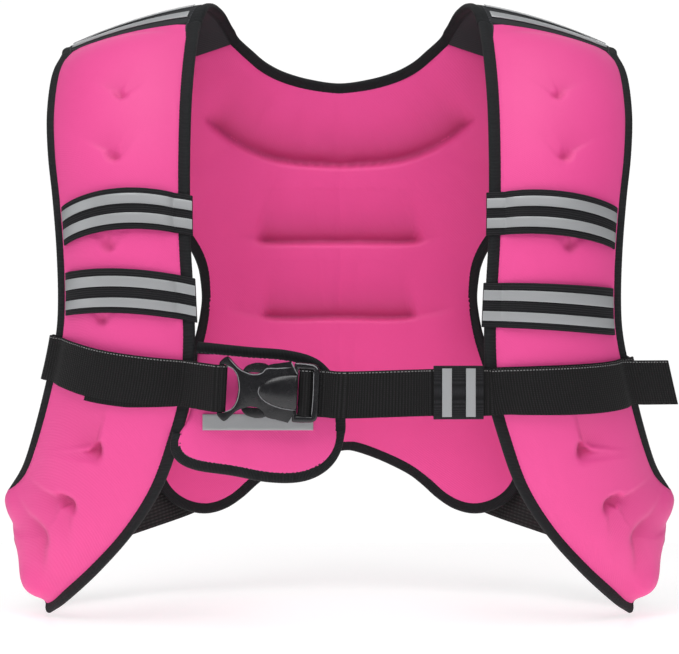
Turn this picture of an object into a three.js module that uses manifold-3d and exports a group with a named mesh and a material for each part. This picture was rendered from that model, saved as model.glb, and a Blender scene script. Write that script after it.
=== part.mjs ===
// Weighted vest, worn and hollow: two padded front panels and a padded back panel in neoprene,
// joined by flat shoulder yokes and elastic side gussets, closed by a webbing belt and a buckle.
// Millimetres. X is across the wearer, -Y is the front, +Z is up. The origin is the middle of the
// line where the vest sits on the shoulders.
import * as THREE from 'three';
import { mergeVertices } from 'three/addons/utils/BufferGeometryUtils.js';
import Module from 'manifold-3d';

// Overall reach of the worn form.
const HALF_WIDTH = 243; // centre line to the widest bound edge of a front panel
const FRONT_DEPTH = 111; // shoulder line forward to the bound edges at the belly
const DROP = 444; // shoulder line down to the lowest bound tip
const BACK_HALF = 188; // centre line to the arm end of the back panel
const BACK_DEPTH = 115; // shoulder line back to the middle of the back panel

// Padding: how far each pad stands out from its middle surface.
const FRONT_PUFF_OUT = 12;
const FRONT_PUFF_IN = 6;
const FRONT_CAMBER = 5; // how far a front panel bows out between its edges
const BACK_PUFF_IN = 9;
const BACK_PUFF_OUT = 7;
const PAD_EDGE = 4; // wall of a pad at its sewn edge
const SEAM_HALF = 9; // half width of the valley over a quilting seam

// Flat goods.
const FRONT_TAPE = 9.5; // width of the binding that shows on the front panels
const OUTER_TAPE = 7.5; // the same on their arm edges
const BACK_TAPE = 7; // and round the back panel and the guard
const TAPE_WALL = 5.2; // binding folded over the edge
const YOKE_WALL = 5;
const ELASTIC_WALL = 1.6;
const LOOP_WIDTH = 30;
const STRIPE_WIDTH = 6.6;
const STRIPE_OFFSET = 7; // middle of a stripe from the middle of its band
const STRIPE_WALL = 0.6;
const BELT_WIDTH = 32;
const BELT_WALL = 1.6;
const FREE_TAIL = 34; // free end of the belt past the last place where it lies on the right panel
const KEEPER_BESIDE = 2.4; // between the keeper and the right panel
const KEEPER_WIDTH = 34;
const GUSSET_WALL = 2;
const GUARD_WALL = 7;

// Clearances.
const GAP = 0.4; // between pieces sewn edge to edge
const EDGE_GAP = 0.65; // between a curved edge and the binding round it
const LIFT = 0.7; // between a band and what it lies on

// Buckle, for the belt's webbing.
const BUCKLE_X = -48.5; // middle of the fastened buckle
const BUCKLE_STAND = 14.5; // its middle plane in front of the front panels' edges
const BUCKLE_Y = -(FRONT_DEPTH + BUCKLE_STAND);
const BUCKLE_Z = -0.624 * DROP;
const BUCKLE_TILT = 3; // degrees, its top towards the plug
const BUCKLE_LENGTH = 69;
const SOCKET_LENGTH = 51;
const BUCKLE_HEIGHT = 44;
const BUCKLE_WALL = 11; // front to back
const BAR_WIDTH = 3.4;
const BAR_WALL = 3;
const RIM = 2.1; // front and back wall of the socket
const CATCH_GAP = 0.4; // between the plug and the socket
const BAR_INSET = 0.6; // from the socket's left end to its bar
const FRAME_SIDE = 2.4; // wall of the plug's frame beside the socket
const FRAME_PASS = 3.5; // from that wall to the inner bar
const OUTER_BAR = 3.7; // width of the plug's end bar
const END_BAR_GAP = 1; // between the end bar and the belt behind it
const STRAIGHT_RUN = [20, 4]; // the belt's cross lines beside the plug, from its end
const TURN_EASE = 0.2; // how far the belt draws in beside a bar

const FINISHES = {
  neoprene: { color: 0xe9559a, roughness: 0.62, metalness: 0 },
  binding: { color: 0x2a2c2f, roughness: 0.85, metalness: 0 },
  webbing: { color: 0x1d1c1f, roughness: 0.8, metalness: 0 },
  elastic: { color: 0x1a1b1d, roughness: 0.85, metalness: 0 },
  reflective: { color: 0xa9acae, roughness: 0.45, metalness: 0.2 },
  lining: { color: 0x303235, roughness: 0.9, metalness: 0 },
  plastic: { color: 0x1f1f22, roughness: 0.25, metalness: 0 },
};

const vest = new THREE.Group();
const V = (x, y, z) => new THREE.Vector3(x, y, z);
const SIDES = [
  { side: -1, hand: 'left' },
  { side: 1, hand: 'right' },
];

function addMesh(name, finish, geometry) {
  const mesh = new THREE.Mesh(geometry, new THREE.MeshStandardMaterial(FINISHES[finish]));
  mesh.name = name;
  vest.add(mesh);
  return mesh;
}

// A smooth value between the rows of a table, at a share of its length.
function tableAt(rows, share) {
  const place = THREE.MathUtils.clamp(share, 0, 1) * (rows.length - 1);
  const i = Math.min(Math.floor(place), rows.length - 2);
  const f = place - i;
  const beyond = share < 0 || share > 1 ? share * (rows.length - 1) - place : 0;
  const row = (k) => rows[THREE.MathUtils.clamp(k, 0, rows.length - 1)];
  const before = i > 0 ? row(i - 1) : row(0).map((a, c) => 2 * a - row(1)[c]);
  const after = i + 2 < rows.length ? row(i + 2) : row(i + 1).map((a, c) => 2 * a - row(i)[c]);
  return row(i).map((b, c) => {
    const a = before[c];
    const d = row(i + 1)[c];
    const e = after[c];
    const bend = (2 * a - 5 * b + 4 * d - e) * f * f + (3 * (b - d) + e - a) * f * f * f;
    const slope = share < 0 ? row(1)[c] - row(0)[c] : row(rows.length - 1)[c] - row(rows.length - 2)[c];
    return 0.5 * (2 * b + (d - a) * f + bend) + beyond * slope;
  });
}

// A closed sheet from a grid of middle points. Each holds its point, its unit normal and how far
// the wall stands out on both sides. A ringed sheet closes on itself along its first index.
function sheet(name, finish, grid, ringed = false) {
  const rows = grid.length;
  const columns = grid[0].length;
  const points = [];
  const index = [];
  for (const row of grid) {
    for (const g of row) {
      const top = g.p.clone().addScaledVector(g.n, g.out);
      const bottom = g.p.clone().addScaledVector(g.n, -g.in);
      points.push(top.x, top.y, top.z, bottom.x, bottom.y, bottom.z);
    }
  }
  const at = (i, j, low) => 2 * ((i % rows) * columns + j) + low;
  const i0 = Math.floor((rows - 1) / 2);
  const j0 = Math.floor((columns - 1) / 2);
  const di = grid[i0 + 1][j0].p.clone().sub(grid[i0][j0].p);
  const dj = grid[i0][j0 + 1].p.clone().sub(grid[i0][j0].p);
  const forward = di.cross(dj).dot(grid[i0][j0].n) > 0;
  const quad = (a, b, c, d) => {
    if (forward) index.push(a, b, c, a, c, d);
    else index.push(a, c, b, a, d, c);
  };
  const last = ringed ? rows : rows - 1;
  for (let i = 0; i < last; i++) {
    for (let j = 0; j < columns - 1; j++) {
      quad(at(i, j, 0), at(i + 1, j, 0), at(i + 1, j + 1, 0), at(i, j + 1, 0));
      quad(at(i, j, 1), at(i, j + 1, 1), at(i + 1, j + 1, 1), at(i + 1, j, 1));
    }
    quad(at(i, 0, 0), at(i, 0, 1), at(i + 1, 0, 1), at(i + 1, 0, 0));
    quad(at(i, columns - 1, 0), at(i + 1, columns - 1, 0), at(i + 1, columns - 1, 1), at(i, columns - 1, 1));
  }
  if (!ringed) {
    for (let j = 0; j < columns - 1; j++) {
      quad(at(0, j, 0), at(0, j + 1, 0), at(0, j + 1, 1), at(0, j, 1));
      quad(at(rows - 1, j, 0), at(rows - 1, j, 1), at(rows - 1, j + 1, 1), at(rows - 1, j + 1, 0));
    }
  }
  const geometry = new THREE.BufferGeometry();
  geometry.setAttribute('position', new THREE.Float32BufferAttribute(points, 3));
  geometry.setIndex(index);
  return addMesh(name, finish, geometry);
}

// Half wall of a binding from the pad to its fold, as shares of half its wall.
const TAPE_ROUND = [0.8, 1, 0.62];
const TAPE_SLOPE = [1, 0.75];

// How full a pad is at a share of its width: steep at the sewn edges, flat between them.
const fullness = (share) => {
  const c = 1 - Math.abs(2 * THREE.MathUtils.clamp(share, 0, 1) - 1);
  return Math.pow(Math.sin((Math.PI / 2) * Math.pow(c, 0.75)), 0.8);
};
const ease = (share) => {
  const c = THREE.MathUtils.clamp(share, 0, 1);
  return c * c * (3 - 2 * c);
};

// Front panels. Rows run from the shoulder down and round the wearer's side to the tail's end.
// Columns: inner edge across, depth and height, outer edge across, depth and height, as shares
// of HALF_WIDTH, FRONT_DEPTH and DROP, then how full the padding is.
const FRONT_ROWS = [
  [0.418, -0.18, -0.026, 0.847, -0.045, -0.076, 0.3],
  [0.423, -0.45, -0.086, 0.862, -0.27, -0.117, 0.9],
  [0.425, -0.721, -0.167, 0.86, -0.505, -0.184, 1],
  [0.424, -0.874, -0.25, 0.847, -0.649, -0.252, 1],
  [0.422, -0.946, -0.321, 0.828, -0.721, -0.325, 1],
  [0.419, -0.982, -0.392, 0.814, -0.757, -0.405, 1],
  [0.41, -1, -0.477, 0.809, -0.766, -0.484, 1],
  [0.406, -1, -0.554, 0.817, -0.748, -0.542, 1],
  [0.416, -0.991, -0.632, 0.848, -0.685, -0.611, 1],
  [0.448, -0.955, -0.697, 0.892, -0.559, -0.689, 1.05],
  [0.503, -0.874, -0.777, 0.939, -0.396, -0.751, 1.15],
  [0.592, -0.739, -0.852, 1.003, -0.162, -0.798, 1.4],
  [0.704, -0.559, -0.921, 1.007, 0.045, -0.805, 1.75],
  [0.812, -0.342, -0.976, 0.988, 0.198, -0.804, 1.85],
  [0.875, -0.135, -1.002, 0.954, 0.324, -0.802, 1.5],
];

// Dimples where the layers are tacked together. Columns: place across and along the panel as
// shares, depth as a share of FRONT_PUFF_OUT, radius in mm.
const FRONT_DIMPLES = [
  [0.5, 0.113, 0.35, 8],
  [0.57, 0.214, 0.35, 8],
  [0.63, 0.357, 0.3, 8],
  [0.69, 0.464, 0.3, 8],
  [0.57, 0.674, 0.4, 9],
  [0.56, 0.786, 0.6, 11],
  [0.6, 0.925, 0.5, 11],
];

function frontBase(side, s, t) {
  const r = tableAt(FRONT_ROWS, t);
  const inner = V(side * r[0] * HALF_WIDTH, r[1] * FRONT_DEPTH, r[2] * DROP);
  const outer = V(side * r[3] * HALF_WIDTH, r[4] * FRONT_DEPTH, r[5] * DROP);
  return inner.lerp(outer, s);
}

// Middle surface of a front panel with its directions: across to the arm, along to the tail and
// out from the wearer, and its length scale there.
function frontFrame(side, s, t) {
  const step = 0.01;
  const p = frontBase(side, s, t);
  const across = frontBase(side, 1, t).sub(frontBase(side, 0, t));
  const along = frontBase(side, s, t + step).sub(frontBase(side, s, t - step));
  const scale = along.length() / (2 * step);
  across.normalize();
  along.normalize();
  const n = along.clone().cross(across).multiplyScalar(side).normalize();
  const camber = FRONT_CAMBER * 4 * s * (1 - s);
  p.addScaledVector(n, THREE.MathUtils.clamp(camber, -2, FRONT_CAMBER));
  return { p, n, across, along, scale };
}

const dimplePoints = (side) => FRONT_DIMPLES.map(([s, t, depth, radius]) => ({
  p: frontBase(side, s, t),
  depth: depth * FRONT_PUFF_OUT,
  radius,
}));

// Limits of the pad between its bindings, as shares of the panel's width.
function padLimits(side, t) {
  const width = frontBase(side, 1, t).distanceTo(frontBase(side, 0, t));
  return [(FRONT_TAPE + GAP) / width, 1 - (OUTER_TAPE + GAP) / width];
}

// How full the pad is near its ends at the shoulder seam and at the tail.
const endFullness = (t) => ease((1 - t) / 0.06 + 0.15) * ease(t / 0.04 + 0.1);

// How far the pad's outer face stands from the middle surface.
function frontOut(side, s, t, dimpled = true) {
  const [from, to] = padLimits(side, t);
  const share = (s - from) / (to - from);
  const full = tableAt(FRONT_ROWS, t)[6];
  const end = endFullness(t);
  let out = PAD_EDGE / 2 + FRONT_PUFF_OUT * full * fullness(share) * end;
  const p = frontBase(side, s, t);
  for (const d of dimpled ? dimplePoints(side) : []) {
    const away = p.distanceTo(d.p) / d.radius;
    out -= d.depth * Math.exp(-away * away);
  }
  return Math.max(out, PAD_EDGE / 2);
}

function frontIn(side, s, t) {
  const [from, to] = padLimits(side, t);
  const full = tableAt(FRONT_ROWS, t)[6];
  const end = endFullness(t);
  return PAD_EDGE / 2 + FRONT_PUFF_IN * full * fullness((s - from) / (to - from)) * end;
}

const FRONT_COLUMNS = 10;
const FRONT_STEPS = 26;

function frontPanel(side, hand) {
  const grid = [];
  for (let i = 0; i <= FRONT_STEPS; i++) {
    const t = i / FRONT_STEPS;
    const [from, to] = padLimits(side, t);
    const row = [];
    for (let j = 0; j <= FRONT_COLUMNS; j++) {
      const turn = j / FRONT_COLUMNS;
      const spread = turn - 0.35 * Math.sin(2 * Math.PI * turn) / (2 * Math.PI);
      const s = from + (to - from) * spread;
      const f = frontFrame(side, s, t);
      row.push({ p: f.p, n: f.n, out: frontOut(side, s, t), in: frontIn(side, s, t) });
    }
    grid.push(row);
  }
  sheet(`front_panel_${hand}`, 'neoprene', grid);
}

// Binding along one edge of a front panel, from the shoulder to the tail's end.
function frontBinding(side, hand, edge) {
  const grid = [];
  for (let i = 0; i <= FRONT_STEPS; i++) {
    const t = i / FRONT_STEPS;
    const tape = edge === 'inner' ? FRONT_TAPE : OUTER_TAPE;
    const row = [];
    for (let j = 0; j < TAPE_ROUND.length; j++) {
      const reach = tape * (1 - j / (TAPE_ROUND.length - 1));
      const width = frontBase(side, 1, t).distanceTo(frontBase(side, 0, t));
      const s = edge === 'inner' ? reach / width : 1 - reach / width;
      const f = frontFrame(side, s, t);
      const half = (TAPE_WALL / 2) * TAPE_ROUND[j];
      row.push({ p: f.p, n: f.n, out: half, in: half });
    }
    grid.push(row);
  }
  sheet(`front_${edge}_binding_${hand}`, 'binding', grid);
}

// Back panel. Its outline is given from the front, in shares of BACK_HALF and DROP: the neckline
// and then the yoke seam, the side from the armhole to the lobe, and the hem.
const NECKLINE = [
  [0, -0.108],
  [0.165, -0.099],
  [0.293, -0.081],
  [0.372, -0.0586],
  [0.449, -0.0304],
];
const YOKE_SEAM = [
  [0.449, -0.0304],
  [0.589, -0.0523],
  [0.798, -0.083],
  [1, -0.1126],
];
const BACK_SIDE = [
  [1, -0.1126],
  [0.851, -0.248],
  [0.66, -0.342],
  [0.572, -0.401],
  [0.546, -0.46],
  [0.551, -0.502],
  [0.576, -0.552],
  [0.628, -0.619],
  [0.691, -0.698],
  [0.745, -0.766],
];
const HEM = [
  [0, -0.734],
  [0.097, -0.737],
  [0.28, -0.769],
  [0.381, -0.798],
  [0.464, -0.828],
  [0.556, -0.842],
  [0.65, -0.833],
  [0.723, -0.805],
  [0.745, -0.766],
];

// Depth of the back's middle line. Columns: height as a share of DROP, depth of BACK_DEPTH.
const BACK_CURVE = [
  [0.05, 0.45],
  [-0.04, 0.645],
  [-0.13, 0.8],
  [-0.22, 0.905],
  [-0.31, 0.955],
  [-0.4, 0.985],
  [-0.49, 1],
  [-0.58, 1],
  [-0.67, 0.99],
  [-0.76, 0.965],
  [-0.85, 0.92],
];
const BACK_ROUND = 46; // how far the back comes forward at BACK_HALF
const BACK_ROUND_POWER = 1.6;

// Quilting seams of the back, in shares of BACK_HALF and DROP, given for one half.
const BACK_SEAMS = [
  [[0, -0.2356], [0.24, -0.2284], [0.404, -0.2058], [0.505, -0.1757], [0.58, -0.152]],
  [[0, -0.3727], [0.282, -0.3727], [0.45, -0.366]],
  [[0, -0.508], [0.255, -0.508], [0.51, -0.494]],
];
const SEAM_FULL = [0.285, 0.255]; // where the channel seams start to run out, of BACK_HALF

const BACK_COLUMNS = 22;
const BACK_STEPS = 22;
const NECK_COLUMNS = 5; // columns of half the neckline
const NECK_SHARE = (2 * NECK_COLUMNS) / BACK_COLUMNS;

function outlineAt(rows, share) {
  const [x, z] = tableAt(rows, share);
  return [x * BACK_HALF, z * DROP];
}

function backTop(a) {
  if (a < NECK_SHARE) return outlineAt(NECKLINE, a / NECK_SHARE);
  return outlineAt(YOKE_SEAM, (a - NECK_SHARE) / (1 - NECK_SHARE));
}

function backPlace(u, b) {
  const a = Math.abs(u);
  const top = backTop(a);
  const hem = outlineAt(HEM, a);
  const side = outlineAt(BACK_SIDE, b);
  const middle = [0, THREE.MathUtils.lerp(NECKLINE[0][1], HEM[0][1], b) * DROP];
  const c = [outlineAt(NECKLINE, 0), outlineAt(BACK_SIDE, 0), outlineAt(HEM, 0), outlineAt(HEM, 1)];
  const place = [0, 1].map((k) => {
    const corners = (1 - a) * (1 - b) * c[0][k] + a * (1 - b) * c[1][k]
      + (1 - a) * b * c[2][k] + a * b * c[3][k];
    return (1 - b) * top[k] + b * hem[k] + (1 - a) * middle[k] + a * side[k] - corners;
  });
  return [u < 0 ? -place[0] : place[0], place[1]];
}

function backDepth(x, z) {
  const first = BACK_CURVE[0][0];
  const span = BACK_CURVE[BACK_CURVE.length - 1][0] - first;
  const middle = tableAt(BACK_CURVE, (z / DROP - first) / span)[1] * BACK_DEPTH;
  return middle - BACK_ROUND * Math.pow(Math.abs(x) / BACK_HALF, BACK_ROUND_POWER);
}

// A point of the back's middle surface. Its normal points away from the wearer.
function backFrame(x, z) {
  const step = 1;
  const slopeX = (backDepth(x + step, z) - backDepth(x - step, z)) / (2 * step);
  const slopeZ = (backDepth(x, z + step) - backDepth(x, z - step)) / (2 * step);
  return { p: V(x, backDepth(x, z), z), n: V(-slopeX, 1, -slopeZ).normalize() };
}

function seamDistance(seam, x, z) {
  let best = Infinity;
  const steps = 24;
  let last = null;
  for (let i = 0; i <= steps; i++) {
    const [sx, sz] = outlineAt(seam, i / steps);
    if (last) {
      const dx = sx - last[0];
      const dz = sz - last[1];
      const f = ((Math.abs(x) - last[0]) * dx + (z - last[1]) * dz) / (dx * dx + dz * dz);
      const g = THREE.MathUtils.clamp(f, 0, 1);
      best = Math.min(best, Math.hypot(Math.abs(x) - last[0] - g * dx, z - last[1] - g * dz));
    }
    last = [sx, sz];
  }
  return best;
}

// How full the back pad is: none at its edges, thin along its quilting seams.
function backFull(u, b, x, z) {
  let full = fullness((u + 1) / 2) * Math.min(1, fullness(b) * 1.05);
  BACK_SEAMS.forEach((seam, k) => {
    const away = seamDistance(seam, x, z) / SEAM_HALF;
    const fade = k === 0 ? 0.75 : 0.8 - 0.45 * ease((Math.abs(x) / BACK_HALF - SEAM_FULL[k - 1]) / 0.1);
    full *= 1 - fade * Math.exp(-away * away);
  });
  return full;
}

function backPanel() {
  const grid = [];
  for (let i = 0; i <= BACK_STEPS; i++) {
    const b = i / BACK_STEPS;
    const row = [];
    for (let j = 0; j <= BACK_COLUMNS; j++) {
      const u = -1 + (2 * j) / BACK_COLUMNS;
      const [x, z] = backPlace(u, b);
      const f = backFrame(x, z);
      const full = backFull(u, b, x, z);
      row.push({
        p: f.p,
        n: f.n,
        out: PAD_EDGE / 2 + BACK_PUFF_OUT * full,
        in: PAD_EDGE / 2 + BACK_PUFF_IN * full,
      });
    }
    grid.push(row);
  }
  sheet('back_panel', 'neoprene', grid);
}

// Shoulder yokes. Rows run over the shoulder from the front panel to the back panel.
// Columns: neck edge across, depth and height, arm edge across, depth and height, in shares of
// HALF_WIDTH, BACK_DEPTH and DROP, then how far the yoke bows up, in mm.
const YOKE_ROWS = [
  [0.444, -0.078, -0.002, 0.823, 0.035, -0.059, 3],
  [0.43, 0.045, 0.0115, 0.823, 0.139, -0.0525, 3.5],
  [0.409, 0.19, 0.0135, 0.819, 0.243, -0.055, 3.5],
  [0.383, 0.36, 0.002, 0.807, 0.322, -0.07, 3],
];

function yokeBase(side, s, t) {
  const [from, to] = padLimits(side, 0);
  const front = frontFrame(side, from + (to - from) * s, 0).p;
  const [x, z] = backTop(NECK_SHARE + (1 - NECK_SHARE) * s);
  const back = backFrame(side * x, z).p;
  const rows = [[front.x, front.y, front.z]];
  for (const r of YOKE_ROWS) {
    const bow = r[6] * 4 * s * (1 - s);
    rows.push([
      side * THREE.MathUtils.lerp(r[0], r[3], s) * HALF_WIDTH,
      THREE.MathUtils.lerp(r[1], r[4], s) * BACK_DEPTH,
      THREE.MathUtils.lerp(r[2], r[5], s) * DROP + bow,
    ]);
  }
  rows.push([back.x, back.y, back.z]);
  return V(...tableAt(rows, t));
}

function yokeFrame(side, s, t) {
  const step = 0.01;
  const across = yokeBase(side, s + step, t).sub(yokeBase(side, s - step, t)).normalize();
  const along = yokeBase(side, s, t + step).sub(yokeBase(side, s, t - step));
  const scale = along.length() / (2 * step);
  along.normalize();
  const n = across.clone().cross(along).multiplyScalar(side).normalize();
  return { p: yokeBase(side, s, t), n, across, along, scale };
}

const YOKE_END = 0.006; // share of the yoke's length kept clear at each seam

const YOKE_STEPS = 8;
const YOKE_COLUMNS = 6;
const yokeStep = (i) => YOKE_END + (1 - 2 * YOKE_END) * (i / YOKE_STEPS);

function shoulderYoke(side, hand) {
  const grid = [];
  for (let i = 0; i <= YOKE_STEPS; i++) {
    const row = [];
    for (let j = 0; j <= YOKE_COLUMNS; j++) {
      const f = yokeFrame(side, j / YOKE_COLUMNS, yokeStep(i));
      row.push({ p: f.p, n: f.n, out: YOKE_WALL / 2, in: YOKE_WALL / 2 });
    }
    grid.push(row);
  }
  sheet(`shoulder_yoke_${hand}`, 'lining', grid);
  [0.13, 0.32].forEach((middle, k) => {
    const stripe = [];
    for (let i = 0; i <= 10; i++) {
      const s = 0.02 + 0.96 * (i / 10);
      const row = [-1, 1].map((edge) => {
        const half = STRIPE_WIDTH / 2 / yokeFrame(side, s, middle).scale;
        const f = yokeFrame(side, s, middle + edge * half);
        f.p.addScaledVector(f.n, YOKE_WALL / 2 + GAP + STRIPE_WALL / 2);
        return { p: f.p, n: f.n, out: STRIPE_WALL / 2, in: STRIPE_WALL / 2 };
      });
      stripe.push(row);
    }
    sheet(`shoulder_stripe_${hand}_${k + 1}`, 'reflective', stripe);
  });
}

// A binding outside an edge. Each edge point holds its place, the way out and the normal.
function edgeBinding(name, edge) {
  const grid = edge.map(({ p, out, n, tape }) => TAPE_SLOPE.map((share, j) => ({
    p: p.clone().addScaledVector(out, EDGE_GAP + tape * j),
    n,
    out: (TAPE_WALL / 2) * share,
    in: (TAPE_WALL / 2) * share,
  })));
  sheet(name, 'binding', grid);
}

// The neck or the arm edge of a yoke, without its last step, where the back's edge takes over.
function yokeEdge(side, s) {
  const edge = [];
  for (let i = 0; i < YOKE_STEPS; i++) {
    const t = yokeStep(i);
    const f = yokeFrame(side, s, t);
    const out = s > 0.5 ? f.across : f.across.clone().negate();
    const start = s > 0.5 ? OUTER_TAPE : FRONT_TAPE;
    edge.push({ p: f.p, n: f.n, out, tape: THREE.MathUtils.lerp(start, BACK_TAPE, t) });
  }
  return edge;
}

// Edge of the back panel through places seen from the front, with the way out on the given hand.
function backEdge(places, turn) {
  return places.map(([x, z], i) => {
    const a = places[Math.max(i - 1, 0)];
    const c = places[Math.min(i + 1, places.length - 1)];
    const f = backFrame(x, z);
    const tangent = backFrame(c[0], c[1]).p.sub(backFrame(a[0], a[1]).p).normalize();
    const out = tangent.cross(f.n).multiplyScalar(turn).normalize();
    return { p: f.p, n: f.n, out, tape: BACK_TAPE };
  });
}

function neckBinding() {
  const places = [];
  for (let i = -NECK_COLUMNS; i <= NECK_COLUMNS; i++) {
    places.push(backPlace(i / (BACK_COLUMNS / 2), 0));
  }
  const left = yokeEdge(-1, 0);
  const right = yokeEdge(1, 0).reverse();
  edgeBinding('neck_binding', [...left, ...backEdge(places, 1), ...right]);
}

function backBinding() {
  const half = [];
  for (let i = 0; i <= BACK_STEPS; i++) half.push(backPlace(1, i / BACK_STEPS));
  for (let i = BACK_COLUMNS / 2 - 1; i >= 0; i--) half.push(backPlace((2 * i) / BACK_COLUMNS, 1));
  const other = half.slice(0, -1).reverse().map(([x, z]) => [-x, z]);
  const right = yokeEdge(1, 1);
  const left = yokeEdge(-1, 1).reverse();
  edgeBinding('back_binding', [...right, ...backEdge([...half, ...other], 1), ...left]);
}

// Height above the middle surface at which a band lies on a front panel and its bindings.
function bandHeight(side, s, t) {
  const [from, to] = padLimits(side, t);
  const inside = s > from && s < to;
  const pad = inside ? frontOut(side, s, t, false) : 0;
  return Math.max(pad, TAPE_WALL / 2);
}

// One cross line of a band on a front panel, at a place across it and a middle along it.
function bandLine(side, s, middle, width, lift, offset = 0) {
  return [-1, 0, 1].map((edge) => {
    const scale = frontFrame(side, s, middle).scale;
    const t = middle + (offset + edge * width / 2) / scale;
    const f = frontFrame(side, s, t);
    f.p.addScaledVector(f.n, bandHeight(side, s, t) + lift);
    return f;
  });
}

// Elastic loops on the front panels. Columns: height name, then the middle of the loop as a share
// of the panel's length at its inner edge, its middle and its outer edge.
const LOOPS = {
  left: [['upper', 0.3195, 0.3095, 0.3265], ['lower', 0.4365, 0.4215, 0.4255]],
  right: [['upper', 0.3175, 0.318, 0.333], ['lower', 0.4435, 0.4465, 0.4545]],
};

function loopMiddle(row, s) {
  const [, a, b, c] = row;
  return a * (1 - s) * (1 - 2 * s) + b * 4 * s * (1 - s) + c * s * (2 * s - 1);
}

function panelBand(name, finish, side, row, width, lift, wall, offset, reach) {
  const grid = [];
  const steps = 14;
  for (let i = 0; i <= steps; i++) {
    const s = reach[0] + (reach[1] - reach[0]) * (i / steps);
    const line = bandLine(side, s, loopMiddle(row, s), width, lift + wall / 2, offset);
    const kept = width > STRIPE_WIDTH ? line : [line[0], line[2]];
    grid.push(kept.map((f) => ({ p: f.p, n: f.n, out: wall / 2, in: wall / 2 })));
  }
  sheet(name, finish, grid);
}

function loops(side, hand) {
  for (const row of LOOPS[hand]) {
    const outer = padLimits(side, row[3])[1] - 0.004;
    const reach = [-0.025, outer];
    const name = `${row[0]}_loop_${hand}`;
    panelBand(name, 'elastic', side, row, LOOP_WIDTH, LIFT, ELASTIC_WALL, 0, reach);
    [-1, 1].forEach((way, k) => {
      const lift = LIFT + ELASTIC_WALL + GAP;
      const offset = way * STRIPE_OFFSET;
      const label = `${row[0]}_stripe_${hand}_${k + 1}`;
      panelBand(label, 'reflective', side, row, STRIPE_WIDTH, lift, STRIPE_WALL, offset, reach);
    });
  }
}

// A strap through cross lines of three points each.
function strap(name, lines, wall) {
  const grid = lines.map((line, i) => {
    const before = lines[Math.max(0, i - 1)];
    const after = lines[Math.min(lines.length - 1, i + 1)];
    const down = line[2].clone().sub(line[0]).normalize();
    return line.map((p, k) => {
      const n = after[k].clone().sub(before[k]).cross(down).normalize();
      return { p, n, out: wall / 2, in: wall / 2 };
    });
  });
  sheet(name, 'webbing', grid);
}

// A cross line of the belt standing upright at a place.
function uprightLine(x, y, z) {
  return [V(x, y, z + BELT_WIDTH / 2), V(x, y, z), V(x, y, z - BELT_WIDTH / 2)];
}

// A place on the buckle: along it from its left end, back from its middle and up, in the model.
function onBuckle(x, y, z) {
  const turned = V(x - BUCKLE_LENGTH / 2, y, z).applyAxisAngle(V(0, 1, 0), BUCKLE_TURN);
  return turned.add(V(BUCKLE_X, BUCKLE_Y, BUCKLE_Z));
}

function buckleLine(x, y, z = 0) {
  return [1, 0, -1].map((edge) => onBuckle(x, y, z + (edge * BELT_WIDTH) / 2));
}

// The belt round a bar of the buckle, from its back to its front: cross lines on a half circle.
function barTurn(x, way) {
  const lines = [];
  for (let i = 0; i <= 4; i++) {
    const angle = (Math.PI * i) / 4;
    const out = Math.sin(angle) * (TURN_RADIUS + (BAR_WIDTH - BAR_WALL) / 2);
    lines.push(buckleLine(x + way * out, Math.cos(angle) * TURN_RADIUS));
  }
  return lines;
}

// Where the belt turns round the outer binding of a front panel.
function edgeTurn(side, middle, lift) {
  const radius = TAPE_WALL / 2 + lift;
  const angles = [0.35, 1, 1.65];
  return angles.map((quarter) => {
    const angle = (Math.PI / 2) * quarter;
    return [-1, 0, 1].map((edge) => {
      const scale = frontFrame(side, 1, middle).scale;
      const f = frontFrame(side, 1, middle + (edge * BELT_WIDTH) / 2 / scale);
      f.p.addScaledVector(f.n, Math.cos(angle) * radius);
      f.p.addScaledVector(f.across, Math.sin(angle) * radius);
      return f.p;
    });
  });
}

// From behind the front panel, under the arm, to the outside of the back panel.
const BELT_BACK = [
  [1.02, -0.45, -0.585],
  [0.94, 0, -0.585],
  [0.85, 0.35, -0.583],
  [0.76, 0.68, -0.582],
];
const BELT_SEWN = [0.68, 0.6, 0.5, 0.4]; // on the back panel, shares of BACK_HALF

function sideRun(side) {
  const z = -0.582 * DROP;
  const free = BELT_BACK.map(([x, y, h]) => uprightLine(side * x * BACK_HALF, y * BACK_DEPTH, h * DROP));
  const sewn = BELT_SEWN.map((share) => [1, 0, -1].map((edge) => {
    const f = backFrame(side * share * BACK_HALF, z + (edge * BELT_WIDTH) / 2);
    const height = PAD_EDGE / 2 + BACK_PUFF_OUT + LIFT + BELT_WALL / 2;
    return f.p.addScaledVector(f.n, height);
  }));
  return [...free, ...sewn];
}

const panelPoints = (side, s, middle, lift, offset = 0) => bandLine(side, s, middle, BELT_WIDTH, lift, offset)
  .map((f) => f.p);

const BUCKLE_TURN = THREE.MathUtils.degToRad(BUCKLE_TILT);
const TURN_RADIUS = BAR_WALL / 2 + LIFT + BELT_WALL / 2; // middle of the belt round a bar
const LEFT_BELT = [0.556, 0.5537, 0.55, 0.545, 0.538, 0.533]; // middle on the panel, inner to outer
const RIGHT_BELT = 0.567;
const LAYER = LIFT + BELT_WALL; // from one layer of the belt to the next
const FOLD_DROP = 3.5; // how far the folded layer hangs below the layer over it
const SOCKET_BAR = BAR_INSET + BAR_WIDTH / 2; // middle of each bar, from the buckle's left end
const PLUG_BAR = SOCKET_LENGTH + CATCH_GAP + FRAME_SIDE + FRAME_PASS + BAR_WIDTH / 2;

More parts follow.
